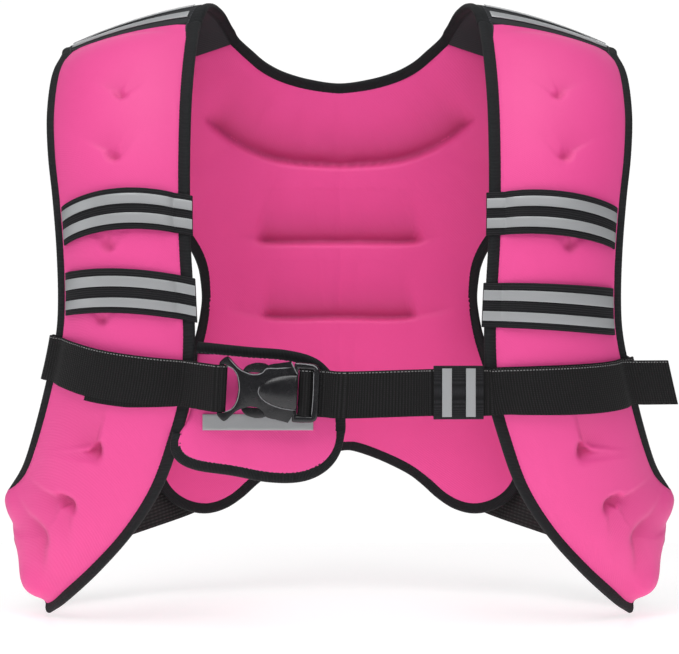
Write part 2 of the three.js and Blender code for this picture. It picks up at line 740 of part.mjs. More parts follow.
function leftBelt() {
  const middle = (s) => tableAt(LEFT_BELT.map((v) => [v]), s)[0];
  const first = LIFT + BELT_WALL / 2;
  const places = [0.03, 0.1, 0.18, 0.26, 0.34, 0.42, 0.5, 0.57, 0.64];
  const under = places.map((s) => panelPoints(-1, s, middle(s), first, FOLD_DROP * Math.min(1, 3 * s)));
  const over = places.map((s) => panelPoints(-1, s, middle(s), first + LAYER));
  const end = [0.72, 0.8, 0.87, 0.94].map((s, k) => {
    return panelPoints(-1, s, middle(s), first + LAYER * (0.85 - 0.28 * k));
  });
  const beside = [1, -1].map((way) => buckleLine(-BAR_WALL, way * (TURN_RADIUS - TURN_EASE)));
  const turn = [beside[0], ...barTurn(SOCKET_BAR, 1), beside[1]];
  const lines = [...under.reverse(), ...turn, ...over, ...end];
  strap('belt_left', [...lines, ...edgeTurn(-1, middle(1), first), ...sideRun(-1)], BELT_WALL);
}

// Middle depth of the fixed layer of the right belt at a place across, from buckle to panel.
function rightDepth(x) {
  const from = onBuckle(BUCKLE_LENGTH + 4, 0, 0).x;
  const edge = panelPoints(1, 0.03, RIGHT_BELT, LIFT + BELT_WALL / 2)[1];
  const start = BUCKLE_Y + TURN_RADIUS;
  return THREE.MathUtils.lerp(start, edge.y, (x - from) / (edge.x - from));
}

const KEEPER_X = frontBase(1, 0, RIGHT_BELT).x - KEEPER_BESIDE - KEEPER_WIDTH / 2;
const KEEPER_EDGES = [-0.6, 0, 0.6].map((share) => KEEPER_X + share * KEEPER_WIDTH);

function rightBelt() {
  const first = LIFT + BELT_WALL / 2;
  const places = [0.94, 0.87, 0.79, 0.7, 0.61, 0.52, 0.43, 0.34, 0.25, 0.17, 0.1, 0.03];
  const under = places.map((s) => panelPoints(1, s, RIGHT_BELT, first));
  const over = [...places].reverse().map((s) => panelPoints(1, s, RIGHT_BELT, first + LAYER, 1));
  const z = under[places.length - 1][1].z;
  const fixed = [...KEEPER_EDGES].reverse().map((x) => uprightLine(x, rightDepth(x), z));
  const free = KEEPER_EDGES.map((x) => uprightLine(x, rightDepth(x) - LAYER, z));
  const behind = STRAIGHT_RUN.map((x) => buckleLine(BUCKLE_LENGTH + x, TURN_RADIUS));
  const dive = buckleLine(PLUG_BAR + BAR_WIDTH / 2 + BELT_WALL / 2, TURN_EASE - TURN_RADIUS);
  const past = [-OUTER_BAR, ...[...STRAIGHT_RUN].reverse()];
  const front = past.map((x) => buckleLine(BUCKLE_LENGTH + x, TURN_RADIUS - LAYER));
  const last = over[over.length - 1];
  const { across } = frontFrame(1, 1, RIGHT_BELT);
  const leave = V(across.x, across.y * 0.8, 0).normalize();
  const tip = [0.3, 0.65, 1].map((share) => last.map((p) => {
    return p.clone().addScaledVector(leave, FREE_TAIL * share);
  }));
  const run = [...sideRun(1)].reverse();
  const turn = edgeTurn(1, RIGHT_BELT, first).reverse();
  const out = [...run, ...turn, ...under, ...fixed, ...behind, ...barTurn(PLUG_BAR, -1)];
  strap('belt_right', [...out, dive, ...front, ...free, ...over, ...tip], BELT_WALL);
  keeper(z);
}

// Elastic keeper round both layers of the right belt, with two reflective stripes.
function keeper(z) {
  const clear = LIFT + ELASTIC_WALL / 2;
  const ring = [];
  const corner = 1;
  const half = BELT_WIDTH / 2 + clear;
  const deep = (LAYER + BELT_WALL) / 2 + clear;
  const corners = [[-1, 1], [1, 1], [1, -1], [-1, -1]];
  corners.forEach(([y, up], k) => {
    const turn = (Math.PI / 2) * (1 - k);
    for (let i = 0; i <= 2; i++) {
      const angle = turn + Math.PI / 2 - (Math.PI / 4) * i;
      const n = V(0, Math.cos(angle), Math.sin(angle));
      ring.push({ y: y * (deep - corner) + corner * n.y, z: up * (half - corner) + corner * n.z, n });
    }
  });
  const ends = [-0.5, 0.5].map((share) => KEEPER_X + share * KEEPER_WIDTH);
  sheet('belt_keeper', 'elastic', ring.map((r) => ends.map((x) => ({
    p: V(x, rightDepth(x) - LAYER / 2 + r.y, z + r.z),
    n: r.n,
    out: ELASTIC_WALL / 2,
    in: ELASTIC_WALL / 2,
  }))), true);
  [-0.24, 0.24].forEach((share, k) => {
    const middle = KEEPER_X + share * KEEPER_WIDTH;
    const grid = [-1, 1].map((edge) => [1, -1].map((up) => {
      const x = middle + (edge * STRIPE_WIDTH) / 2;
      const y = rightDepth(x) - LAYER / 2 - deep - ELASTIC_WALL / 2 - GAP - STRIPE_WALL / 2;
      const wall = STRIPE_WALL / 2;
      return { p: V(x, y, z + up * (half - corner)), n: V(0, -1, 0), out: wall, in: wall };
    }));
    sheet(`keeper_stripe_${k + 1}`, 'reflective', grid);
  });
}

// Buckle outlines for its upper half. Columns: place along and height, as shares of the socket's
// length and of half the buckle's height. They are drawn from the left end.
const SOCKET_OUTLINE = [
  [0.012, 0.76], [0.05, 0.9], [0.13, 1], [0.19, 0.93], [0.24, 0.777], [0.31, 0.607],
  [0.4, 0.53], [0.5, 0.5], [0.6, 0.54], [0.655, 0.607], [0.69, 0.765], [0.82, 0.83], [1, 0.9],
];
const SLOT_ARC = [[0.13, 0.75], [0.215, 0.62], [0.27, 0.34], [0.285, 0]];
const CAVITY_START = 16.5; // from the left end to the blind end of the socket's hollow
const CAVITY_HALF = 15.4;
const CAVITY_DEEP = BUCKLE_WALL - 2 * RIM;
const FRAME_HALF = 20.6; // half height of the plug's frame
const WINDOW_HALF = BELT_WIDTH / 2 + LIFT;
const FRAME_WALL = 9; // front to back
const ARM_OUTLINE = [[1.04, 0.5], [0.7, 0.5], [0.52, 0.58], [0.37, 0.56], [0.345, 0.66], [0.4, 0.76],
  [0.5, 0.83], [0.6, 0.81], [0.66, 0.68], [0.74, 0.66], [1.04, 0.66]];

const wasm = await Module();
wasm.setup();

// A solid for joins and cuts from a closed geometry, and a geometry from a solid.
function solidOf(geometry) {
  const bare = geometry.index ? geometry.clone() : geometry;
  bare.deleteAttribute('normal');
  bare.deleteAttribute('uv');
  const merged = mergeVertices(bare, 1e-4);
  return new wasm.Manifold(new wasm.Mesh({
    numProp: 3,
    vertProperties: new Float32Array(merged.attributes.position.array),
    triVerts: new Uint32Array(merged.index.array),
  }));
}

function geometryOf(solid) {
  const mesh = solid.getMesh();
  const geometry = new THREE.BufferGeometry();
  geometry.setAttribute('position', new THREE.Float32BufferAttribute(mesh.vertProperties, 3));
  geometry.setIndex(Array.from(mesh.triVerts));
  return geometry;
}

// A plate from an outline along and up, centred on the buckle's middle plane.
function plate(points, wall, bevel = 0, holes = []) {
  const ring = points.map(([x, z]) => new THREE.Vector2(x, z));
  const shape = new THREE.Shape(THREE.ShapeUtils.isClockWise(ring) ? ring.reverse() : ring);
  for (const hole of holes) shape.holes.push(new THREE.Path(hole.map(([x, z]) => new THREE.Vector2(x, z))));
  const geometry = new THREE.ExtrudeGeometry(shape, {
    depth: wall - 2 * bevel,
    bevelEnabled: bevel > 0,
    bevelThickness: bevel,
    bevelSize: bevel,
    bevelOffset: -bevel,
    bevelSegments: 1,
    steps: 1,
    curveSegments: 1,
  });
  geometry.translate(0, 0, -wall / 2 + bevel);
  geometry.rotateX(Math.PI / 2);
  return solidOf(geometry);
}

function block(x0, x1, half, y0, y1) {
  const geometry = new THREE.BoxGeometry(x1 - x0, y1 - y0, 2 * half);
  geometry.translate((x0 + x1) / 2, (y0 + y1) / 2, 0);
  return solidOf(geometry);
}

const mirrored = (points) => [...points, ...[...points].reverse().map(([x, z]) => [x, -z])];
const scaled = (rows) => rows.map(([x, z]) => [x * SOCKET_LENGTH, (z * BUCKLE_HEIGHT) / 2]);

function placeOnBuckle(name, solid) {
  const mesh = addMesh(name, 'plastic', geometryOf(solid));
  mesh.position.set(BUCKLE_X, BUCKLE_Y, BUCKLE_Z);
  mesh.rotation.y = BUCKLE_TURN;
  mesh.geometry.translate(-BUCKLE_LENGTH / 2, 0, 0);
}

function buckleSocket() {
  const slotLeft = SOCKET_BAR + BAR_WIDTH / 2;
  const arc = scaled(SLOT_ARC);
  const slot = [[slotLeft, WINDOW_HALF], ...arc, ...[...arc].reverse().slice(1).map(([x, z]) => [x, -z]),
    [slotLeft, -WINDOW_HALF]];
  const body = plate(mirrored(scaled(SOCKET_OUTLINE)), BUCKLE_WALL, 1.2, [slot]);
  const hollow = block(CAVITY_START, SOCKET_LENGTH + 5, CAVITY_HALF, -CAVITY_DEEP / 2, CAVITY_DEEP / 2);
  const thin = (BUCKLE_WALL - BAR_WALL) / 2;
  const front = block(-5, slotLeft, WINDOW_HALF, -BUCKLE_WALL, -BUCKLE_WALL / 2 + thin);
  const back = block(-5, slotLeft, WINDOW_HALF, BUCKLE_WALL / 2 - thin, BUCKLE_WALL);
  placeOnBuckle('buckle_socket', body.subtract(hollow).subtract(front).subtract(back));
}

function bucklePlug() {
  const base = SOCKET_LENGTH + CATCH_GAP;
  const end = BUCKLE_LENGTH;
  const slotLeft = base + FRAME_SIDE;
  const barLeft = PLUG_BAR - BAR_WIDTH / 2;
  const barRight = PLUG_BAR + BAR_WIDTH / 2;
  const window = [[slotLeft, WINDOW_HALF], [end - OUTER_BAR, WINDOW_HALF],
    [end - OUTER_BAR, -WINDOW_HALF], [slotLeft, -WINDOW_HALF]];
  const outline = mirrored([[base, FRAME_HALF - 0.8], [end - 4, FRAME_HALF], [end - 1.2, FRAME_HALF - 1.2],
    [end, FRAME_HALF - 4]]);
  const frame = plate(outline, FRAME_WALL, 0.9, [window]);
  const bar = block(barLeft, barRight, WINDOW_HALF + 1, -BAR_WALL / 2, BAR_WALL / 2);
  const barBack = TURN_RADIUS - LAYER - BELT_WALL / 2 - END_BAR_GAP;
  const clear = block(end - OUTER_BAR - 0.01, end + 1, WINDOW_HALF, barBack, FRAME_WALL);
  const arm = scaled(ARM_OUTLINE);
  const wall = CAVITY_DEEP - 2 * CATCH_GAP;
  const upper = plate(arm, wall);
  const lower = plate([...arm].reverse().map(([x, z]) => [x, -z]), wall);
  const tongue = block(CAVITY_START + 6, base + 1, 5, -wall / 2, wall / 2);
  placeOnBuckle('buckle_plug', frame.subtract(clear).add(bar).add(upper).add(lower).add(tongue));
}

// Elastic gussets from the tail's end to the outside of the lobe of the back panel.
const GUSSET = {
  front: [0.92, 0.38], // top and bottom, shares across the tail's end
  back: [[0.7, -0.715], [0.655, -0.865]], // top and bottom beside the lobe
  sewn: [[0.6, -0.7], [0.56, -0.845]], // top and bottom of its sewn end on the lobe
};

function gusset(side, hand) {
  const outside = ([x, z], lift) => {
    const f = backFrame(side * x * BACK_HALF, z * DROP);
    return f.p.addScaledVector(f.n, lift);
  };
  const lift = PAD_EDGE / 2 + BACK_PUFF_OUT + LIFT + GUSSET_WALL / 2;
  const three = ([a, b], place) => [a, (a + b) / 2, b].map(place);
  const pair = (a, b) => [a, a.clone().lerp(b, 0.5), b];
  const start = three(GUSSET.front, (s) => {
    const f = frontFrame(side, s, 1);
    return f.p.addScaledVector(f.along, GAP + 0.3);
  });
  const beside = pair(...GUSSET.back.map((place) => outside(place, lift)));
  const sewn = pair(...GUSSET.sewn.map((place) => outside(place, lift)));
  const leave = frontFrame(side, 0.6, 1).along.clone();
  const near = start.map((p, k) => {
    const way = beside[k].clone().sub(p).normalize().add(leave).normalize();
    return p.clone().addScaledVector(way, 12);
  });
  const lines = [start, near, beside, sewn];
  const rows = lines.map((line) => line.flatMap((p) => [p.x, p.y, p.z]));
  const grid = [];
  const steps = 12;
  for (let i = 0; i <= steps; i++) {
    const r = tableAt(rows, i / steps);
    const q = tableAt(rows, Math.min(1, i / steps + 0.01));
    const o = tableAt(rows, Math.max(0, i / steps - 0.01));
    grid.push([0, 3, 6].map((k) => {
      const down = V(r[6] - r[0], r[7] - r[1], r[8] - r[2]);
      const n = V(q[k] - o[k], q[k + 1] - o[k + 1], q[k + 2] - o[k + 2]).cross(down).normalize();
      return { p: V(r[k], r[k + 1], r[k + 2]), n, out: GUSSET_WALL / 2, in: GUSSET_WALL / 2 };
    }));
  }
  sheet(`side_gusset_${hand}`, 'elastic', grid);
}

// Guard flap behind the buckle, sewn to the inner edge of the left front panel. Its outline is in
// shares of HALF_WIDTH and DROP.
const GUARD_TOP = [[-0.4, -0.566], [-0.262, -0.574], [-0.155, -0.579], [-0.082, -0.59], [-0.038, -0.612]];
const GUARD_BOTTOM = [
  [-0.45, -0.727], [-0.392, -0.734], [-0.29, -0.741], [-0.2, -0.75],
  [-0.118, -0.75], [-0.062, -0.738], [-0.028, -0.716], [-0.014, -0.684],
];
const GUARD_END = [[-0.038, -0.612], [-0.017, -0.648], [-0.014, -0.684]];
const GUARD_DEPTH = -0.975; // of FRONT_DEPTH
const GUARD_COLUMNS = 13;
const GUARD_STEPS = 6;

function guardPlace(a, b) {
  const top = tableAt(GUARD_TOP, a);
  const bottom = tableAt(GUARD_BOTTOM, a);
  const height = THREE.MathUtils.lerp(GUARD_TOP[0][1], GUARD_BOTTOM[0][1], b);
  const start = [guardStart(height * DROP) / HALF_WIDTH, height];
  const end = tableAt(GUARD_END, b);
  const c = [[guardStart(GUARD_TOP[0][1] * DROP) / HALF_WIDTH, GUARD_TOP[0][1]], GUARD_TOP.at(-1),
    [guardStart(GUARD_BOTTOM[0][1] * DROP) / HALF_WIDTH, GUARD_BOTTOM[0][1]], GUARD_BOTTOM.at(-1)];
  const t = (k) => (k === 0 ? THREE.MathUtils.lerp(c[0][0] - GUARD_TOP[0][0], 0, Math.min(1, a * 4)) : 0);
  const m = (k) => (k === 0 ? THREE.MathUtils.lerp(c[2][0] - GUARD_BOTTOM[0][0], 0, Math.min(1, a * 4)) : 0);
  return [0, 1].map((k) => {
    const corners = (1 - a) * (1 - b) * c[0][k] + a * (1 - b) * c[1][k]
      + (1 - a) * b * c[2][k] + a * b * c[3][k];
    return (1 - b) * (top[k] + t(k)) + b * (bottom[k] + m(k)) + (1 - a) * start[k] + a * end[k] - corners;
  });
}

// Across place of the left panel's inner binding at a height, with the sewn gap added.
function guardStart(z) {
  let low = 0;
  let high = 0.95;
  for (let i = 0; i < 24; i++) {
    const middle = (low + high) / 2;
    if (frontBase(-1, 0, middle).z > z) low = middle;
    else high = middle;
  }
  return frontBase(-1, 0, low).x + GAP * 1.6;
}

function guardPoint(a, b) {
  const [x, z] = guardPlace(a, b);
  return V(x * HALF_WIDTH, GUARD_DEPTH * FRONT_DEPTH, z * DROP);
}

function guard() {
  const grid = [];
  const n = V(0, -1, 0);
  for (let i = 0; i <= GUARD_COLUMNS; i++) {
    const row = [];
    for (let j = 0; j <= GUARD_STEPS; j++) {
      const full = fullness((i / GUARD_COLUMNS) * 0.5 + 0.5) * fullness(j / GUARD_STEPS);
      const half = PAD_EDGE / 2 + (GUARD_WALL - PAD_EDGE) / 2 * full;
      row.push({ p: guardPoint(i / GUARD_COLUMNS, j / GUARD_STEPS), n, out: half, in: half });
    }
    grid.push(row);
  }
  sheet('buckle_guard', 'neoprene', grid);
  const places = [];
  for (let i = 0; i <= GUARD_COLUMNS; i++) places.push(guardPoint(i / GUARD_COLUMNS, 0));
  for (let j = 1; j <= GUARD_STEPS; j++) places.push(guardPoint(1, j / GUARD_STEPS));
  for (let i = GUARD_COLUMNS - 1; i >= 0; i--) places.push(guardPoint(i / GUARD_COLUMNS, 1));
  const edge = places.map((p, i) => {
    const a = places[Math.max(i - 1, 0)];
    const c = places[Math.min(i + 1, places.length - 1)];
    const out = c.clone().sub(a).cross(n).negate().normalize();
    return { p, n, out, tape: BACK_TAPE };
  });
  edgeBinding('guard_binding', edge);
}

// A plain reflective bar on the guard, under the buckle.
const REFLECTOR_ASIDE = 7.5; // its middle from the buckle's, towards the left panel
const REFLECTOR = {
  x: BUCKLE_X - REFLECTOR_ASIDE,
  z: BUCKLE_Z - BUCKLE_HEIGHT / 2,
  length: 76,
  height: 11,
};

function guardReflector() {
  const y = GUARD_DEPTH * FRONT_DEPTH - GUARD_WALL / 2 - GAP - STRIPE_WALL / 2;
  const grid = [-1, 1].map((edge) => [1, -1].map((up) => ({
    p: V(REFLECTOR.x + (edge * REFLECTOR.length) / 2, y, REFLECTOR.z + (up * REFLECTOR.height) / 2),
    n: V(0, -1, 0),
    out: STRIPE_WALL / 2,
    in: STRIPE_WALL / 2,
  })));
  sheet('guard_reflector', 'reflective', grid);
}

backPanel();
for (const { side, hand } of SIDES) {
  frontPanel(side, hand);
  frontBinding(side, hand, 'inner');
  frontBinding(side, hand, 'outer');
  shoulderYoke(side, hand);
  loops(side, hand);
  gusset(side, hand);
}
neckBinding();
backBinding();
guard();
guardReflector();
buckleSocket();
bucklePlug();
leftBelt();
rightBelt();

export default vest;
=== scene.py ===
# %% [markdown]
# # A padded vest in its worn form
#
# This lesson dresses the plain solids of a weighted vest. The solids already have the right size and
# place, so every new piece is made where its solid is, from the same shares of the same few sizes.
# The padded panels are blown up with a short cloth simulation, and tapes and straps are flat grids
# that are bent into place. One more way would be to sculpt the whole vest by hand, but then nothing
# could be measured or changed later.

# %% Load the solids
import math

import bmesh
import bpy
import numpy as np
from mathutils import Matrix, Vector


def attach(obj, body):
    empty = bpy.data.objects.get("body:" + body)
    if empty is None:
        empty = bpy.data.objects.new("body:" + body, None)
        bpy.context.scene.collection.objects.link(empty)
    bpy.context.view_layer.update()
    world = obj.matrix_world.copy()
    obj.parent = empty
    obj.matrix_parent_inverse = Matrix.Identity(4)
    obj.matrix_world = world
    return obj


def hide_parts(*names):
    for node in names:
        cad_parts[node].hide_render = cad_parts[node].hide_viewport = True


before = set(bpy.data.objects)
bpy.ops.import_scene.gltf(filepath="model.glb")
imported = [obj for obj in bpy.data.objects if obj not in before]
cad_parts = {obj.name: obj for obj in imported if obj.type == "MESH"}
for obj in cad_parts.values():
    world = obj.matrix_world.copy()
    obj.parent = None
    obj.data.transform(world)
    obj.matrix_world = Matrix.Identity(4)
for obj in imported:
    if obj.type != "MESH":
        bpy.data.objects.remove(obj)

scene = bpy.context.scene
scene.view_settings.view_transform = "Standard"
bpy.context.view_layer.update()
MM = 0.001

# %% [markdown]
# ## Camera
#
# The photo is taken from straight in front, at the height of the belly, from about 1.4 m away. The
# camera stands level, so upright lines stay upright, and needs no shift.

# %% Camera
view = bpy.data.cameras.new("front_view")
view.lens = 99.5
view.sensor_width = 36
view.clip_start = 0.05
camera = bpy.data.objects.new("front_view", view)
camera.location = (0, -1.4, -0.2337)
camera.rotation_euler = (math.radians(90), 0, 0)
scene.collection.objects.link(camera)
scene.camera = camera
print("camera", tuple(round(c, 3) for c in camera.location), "lens", view.lens)

# %% [markdown]
# ## The pattern
#
# A vest is cut from flat pattern pieces. Here each pattern is a short table of places in shares of the
# vest's sizes, the same ones that its solids follow. A smooth curve runs through the rows of a table.

# %% Sizes in millimetres
HALF_WIDTH = 243
FRONT_DEPTH = 111
DROP = 444
BACK_HALF = 188
BACK_DEPTH = 115
FRONT_PUFF_OUT = 12
FRONT_PUFF_IN = 6
FRONT_CAMBER = 5
BACK_PUFF_IN = 9
BACK_PUFF_OUT = 7
PAD_EDGE = 4
FRONT_TAPE = 9.5
OUTER_TAPE = 7.5
BACK_TAPE = 7
TAPE_WALL = 5.2
YOKE_WALL = 5
ELASTIC_WALL = 1.6
LOOP_WIDTH = 30
STRIPE_WIDTH = 6.6
STRIPE_OFFSET = 7
STRIPE_WALL = 0.6
BELT_WIDTH = 32
BELT_WALL = 1.6
FREE_TAIL = 34
KEEPER_WIDTH = 34
GUSSET_WALL = 2
GUARD_WALL = 7
GAP = 0.4
EDGE_GAP = 0.65
LIFT = 0.7
BUCKLE_X = -48.5
BUCKLE_Y = -(FRONT_DEPTH + 14.5)
BUCKLE_Z = -0.624 * DROP
BUCKLE_TILT = 3
BUCKLE_LENGTH = 69
BUCKLE_HEIGHT = 44
SOCKET_LENGTH = 51
BAR_WIDTH = 3.4
BAR_WALL = 3
HANDS = ((-1, "left"), (1, "right"))
print("vest", 2 * HALF_WIDTH, "mm wide and", DROP, "mm from the shoulders to the tips")


# %% A smooth curve through a table
def between(a, b, d, e, f):
    """The curve at share f of the way from b to d, with a as the row before and e as the row after."""
    bend = (2 * a - 5 * b + 4 * d - e) * f * f + (3 * (b - d) + e - a) * f ** 3
    return 0.5 * (2 * b + (d - a) * f + bend)


def table_at(rows, share):
    """Rows of a table at many shares of its length at once."""
    rows = np.asarray(rows, float)
    share = np.atleast_1d(np.asarray(share, float))
    last = len(rows) - 1
    place = np.clip(share, 0, 1) * last
    i = np.minimum(place.astype(int), last - 1)
    f = (place - i)[:, None]
    ends = np.vstack([2 * rows[0] - rows[1], rows, 2 * rows[-1] - rows[-2]])
    value = between(ends[i], ends[i + 1], ends[i + 2], ends[i + 3], f)
    before = np.minimum(share, 0)[:, None] * last * (rows[1] - rows[0])
    beyond = np.maximum(share - 1, 0)[:, None] * last * (rows[-1] - rows[-2])
    return value + before + beyond


def row(values):
    return np.atleast_1d(np.asarray(values, float))


def unit(v):
    return v / np.maximum(np.linalg.norm(v, axis=-1, keepdims=True), 1e-12)


def mix(a, b, share):
    return a + (b - a) * share


def ease(share):
    c = np.clip(share, 0, 1)
    return c * c * (3 - 2 * c)


def fullness(share):
    c = 1 - np.abs(2 * np.clip(share, 0, 1) - 1)
    return np.sin(math.pi / 2 * c ** 0.75) ** 0.8


def points(x, y, z):
    return np.stack(np.broadcast_arrays(row(x), row(y), row(z)), axis=1)


# %% Front panels: inner edge, outer edge and fullness from the shoulder to the tail
FRONT_ROWS = [
    [0.418, -0.18, -0.026, 0.847, -0.045, -0.076, 0.3],
    [0.423, -0.45, -0.086, 0.862, -0.27, -0.117, 0.9],
    [0.425, -0.721, -0.167, 0.86, -0.505, -0.184, 1],
    [0.424, -0.874, -0.25, 0.847, -0.649, -0.252, 1],
    [0.422, -0.946, -0.321, 0.828, -0.721, -0.325, 1],
    [0.419, -0.982, -0.392, 0.814, -0.757, -0.405, 1],
    [0.41, -1, -0.477, 0.809, -0.766, -0.484, 1],
    [0.406, -1, -0.554, 0.817, -0.748, -0.542, 1],
    [0.416, -0.991, -0.632, 0.848, -0.685, -0.611, 1],
    [0.448, -0.955, -0.697, 0.892, -0.559, -0.689, 1.05],
    [0.503, -0.874, -0.777, 0.939, -0.396, -0.751, 1.15],
    [0.592, -0.739, -0.852, 1.003, -0.162, -0.798, 1.4],
    [0.704, -0.559, -0.921, 1.007, 0.045, -0.805, 1.75],
    [0.812, -0.342, -0.976, 0.988, 0.198, -0.804, 1.85],
    [0.875, -0.135, -1.002, 0.954, 0.324, -0.802, 1.5],
]


def front_base(side, s, t):
    s, t = np.broadcast_arrays(row(s), row(t))
    r = table_at(FRONT_ROWS, t)
    inner = points(side * r[:, 0] * HALF_WIDTH, r[:, 1] * FRONT_DEPTH, r[:, 2] * DROP)
    outer = points(side * r[:, 3] * HALF_WIDTH, r[:, 4] * FRONT_DEPTH, r[:, 5] * DROP)
    return inner + (outer - inner) * s[:, None]


def front_frame(side, s, t):
    """Middle surface: place, way out, across to the arm, along to the tail, length scale."""
    step = 0.01
    s, t = np.broadcast_arrays(row(s), row(t))
    across = unit(front_base(side, 1, t) - front_base(side, 0, t))
    along = front_base(side, s, t + step) - front_base(side, s, t - step)
    scale = np.linalg.norm(along, axis=1) / (2 * step)
    along = unit(along)
    n = unit(np.cross(along, across) * side)
    camber = np.clip(FRONT_CAMBER * 4 * s * (1 - s), -2, FRONT_CAMBER)
    return front_base(side, s, t) + n * camber[:, None], n, across, along, scale


def front_span(side, t):
    return np.linalg.norm(front_base(side, 1, t) - front_base(side, 0, t), axis=1)


def pad_limits(side, t):
    span = front_span(side, t)
    return (FRONT_TAPE + GAP) / span, 1 - (OUTER_TAPE + GAP) / span


def front_out(side, s, t):
    a, b = pad_limits(side, t)
    end = ease((1 - t) / 0.06 + 0.15) * ease(t / 0.04 + 0.1)
    full = table_at(FRONT_ROWS, t)[:, 6] * fullness((s - a) / (b - a)) * end
    return PAD_EDGE / 2 + FRONT_PUFF_OUT * full


print("front panel at the belt:", front_frame(1, 0.5, 0.55)[0][0].round(1), "mm")

# %% Back panel: half of its outline seen from the front, and its curve round the wearer
NECKLINE = [[0, -0.108], [0.165, -0.099], [0.293, -0.081], [0.372, -0.0586], [0.449, -0.0304]]
YOKE_SEAM = [[0.449, -0.0304], [0.589, -0.0523], [0.798, -0.083], [1, -0.1126]]
BACK_SIDE = [
    [1, -0.1126], [0.851, -0.248], [0.66, -0.342], [0.572, -0.401], [0.546, -0.46],
    [0.551, -0.502], [0.576, -0.552], [0.628, -0.619], [0.691, -0.698], [0.745, -0.766],
]
HEM = [
    [0, -0.734], [0.097, -0.737], [0.28, -0.769], [0.381, -0.798], [0.464, -0.828],
    [0.556, -0.842], [0.65, -0.833], [0.723, -0.805], [0.745, -0.766],
]
BACK_CURVE = [
    [0.05, 0.45], [-0.04, 0.645], [-0.13, 0.8], [-0.22, 0.905], [-0.31, 0.955], [-0.4, 0.985],
    [-0.49, 1], [-0.58, 1], [-0.67, 0.99], [-0.76, 0.965], [-0.85, 0.92],
]
BACK_ROUND = 46
BACK_ROUND_POWER = 1.6
BACK_SEAMS = [
    [[0, -0.2356], [0.24, -0.2284], [0.404, -0.2058], [0.505, -0.1757], [0.58, -0.152]],
    [[0, -0.3727], [0.282, -0.3727], [0.45, -0.366]],
    [[0, -0.508], [0.255, -0.508], [0.51, -0.494]],
]
NECK_SHARE = 10 / 22


def outline_at(rows, share):
    return table_at(rows, share) * np.array([BACK_HALF, DROP])


def back_top(a):
    a = row(a)
    neck = outline_at(NECKLINE, a / NECK_SHARE)
    seam = outline_at(YOKE_SEAM, (a - NECK_SHARE) / (1 - NECK_SHARE))
    return np.where((a < NECK_SHARE)[:, None], neck, seam)


def four_corners(a, b, c):
    """The flat patch between four corners, which is taken off again where four edges are added."""
    return (1 - a) * (1 - b) * c[0] + a * (1 - b) * c[1] + (1 - a) * b * c[2] + a * b * c[3]


def back_place(u, b):
    """A place on the back panel seen from the front: across from -1 to 1 and down from 0 to 1."""
    u, b = np.broadcast_arrays(row(u), row(b))
    a = np.abs(u)[:, None]
    down = b[:, None]
    heights = mix(NECKLINE[0][1], HEM[0][1], b) * DROP
    middle = np.stack([np.zeros(len(b)), heights], axis=1)
    c = [outline_at(NECKLINE, 0), outline_at(BACK_SIDE, 0), outline_at(HEM, 0), outline_at(HEM, 1)]
    sides = (1 - a) * middle + a * outline_at(BACK_SIDE, b)
    ends = (1 - down) * back_top(np.abs(u)) + down * outline_at(HEM, np.abs(u))
    p = ends + sides - four_corners(a, down, c)
    p[:, 0] *= np.where(u < 0, -1, 1)
    return p


def back_depth(x, z):
    first, last = BACK_CURVE[0][0], BACK_CURVE[-1][0]
    middle = table_at(BACK_CURVE, (row(z) / DROP - first) / (last - first))[:, 1] * BACK_DEPTH
    return middle - BACK_ROUND * (np.abs(row(x)) / BACK_HALF) ** BACK_ROUND_POWER


def back_frame(x, z):
    x, z = np.broadcast_arrays(row(x), row(z))
    dx = (back_depth(x + 1, z) - back_depth(x - 1, z)) / 2
    dz = (back_depth(x, z + 1) - back_depth(x, z - 1)) / 2
    return points(x, back_depth(x, z), z), unit(points(-dx, 1, -dz))


print("back panel's lobe:", back_frame(*back_place(1, 1).T)[0][0].round(1), "mm")

# %% Shoulder yokes: neck edge, arm edge and bow over the shoulder
YOKE_ROWS = [
    [0.444, -0.078, -0.002, 0.823, 0.035, -0.059, 3],
    [0.43, 0.045, 0.0115, 0.823, 0.139, -0.0525, 3.5],
    [0.409, 0.19, 0.0135, 0.819, 0.243, -0.055, 3.5],
    [0.383, 0.36, 0.002, 0.807, 0.322, -0.07, 3],
]
YOKE_END = 0.006
YOKE_STEPS = 8


def table_rows(rows, share):
    """As table_at, where each share has a table of its own: rows[k] holds row k of every table."""
    last = len(rows) - 1
    place = np.clip(share, 0, 1) * last
    i = np.minimum(place.astype(int), last - 1)
    f = (place - i)[:, None]
    ends = np.concatenate([[2 * rows[0] - rows[1]], rows, [2 * rows[-1] - rows[-2]]])
    k = np.arange(len(share))
    return between(ends[i, k], ends[i + 1, k], ends[i + 2, k], ends[i + 3, k], f)


def yoke_base(side, s, t):
    s, t = np.broadcast_arrays(row(s), row(t))
    a, b = pad_limits(side, 0)
    x, z = back_top(NECK_SHARE + (1 - NECK_SHARE) * s).T
    rows = [front_frame(side, a + (b - a) * s, 0)[0]]
    for r in YOKE_ROWS:
        bow = r[6] * 4 * s * (1 - s)
        rows.append(points(side * mix(r[0], r[3], s) * HALF_WIDTH, mix(r[1], r[4], s) * BACK_DEPTH,
                           mix(r[2], r[5], s) * DROP + bow))
    rows.append(back_frame(side * x, z)[0])
    return table_rows(np.array(rows), t)


def yoke_frame(side, s, t):
    step = 0.01
    s, t = np.broadcast_arrays(row(s), row(t))
    across = unit(yoke_base(side, s + step, t) - yoke_base(side, s - step, t))
    before, after = np.maximum(t - step, 0), np.minimum(t + step, 1)
    along = yoke_base(side, s, after) - yoke_base(side, s, before)
    scale = np.linalg.norm(along, axis=1) / (after - before)
    along = unit(along)
    return yoke_base(side, s, t), unit(np.cross(across, along) * side), across, along, scale


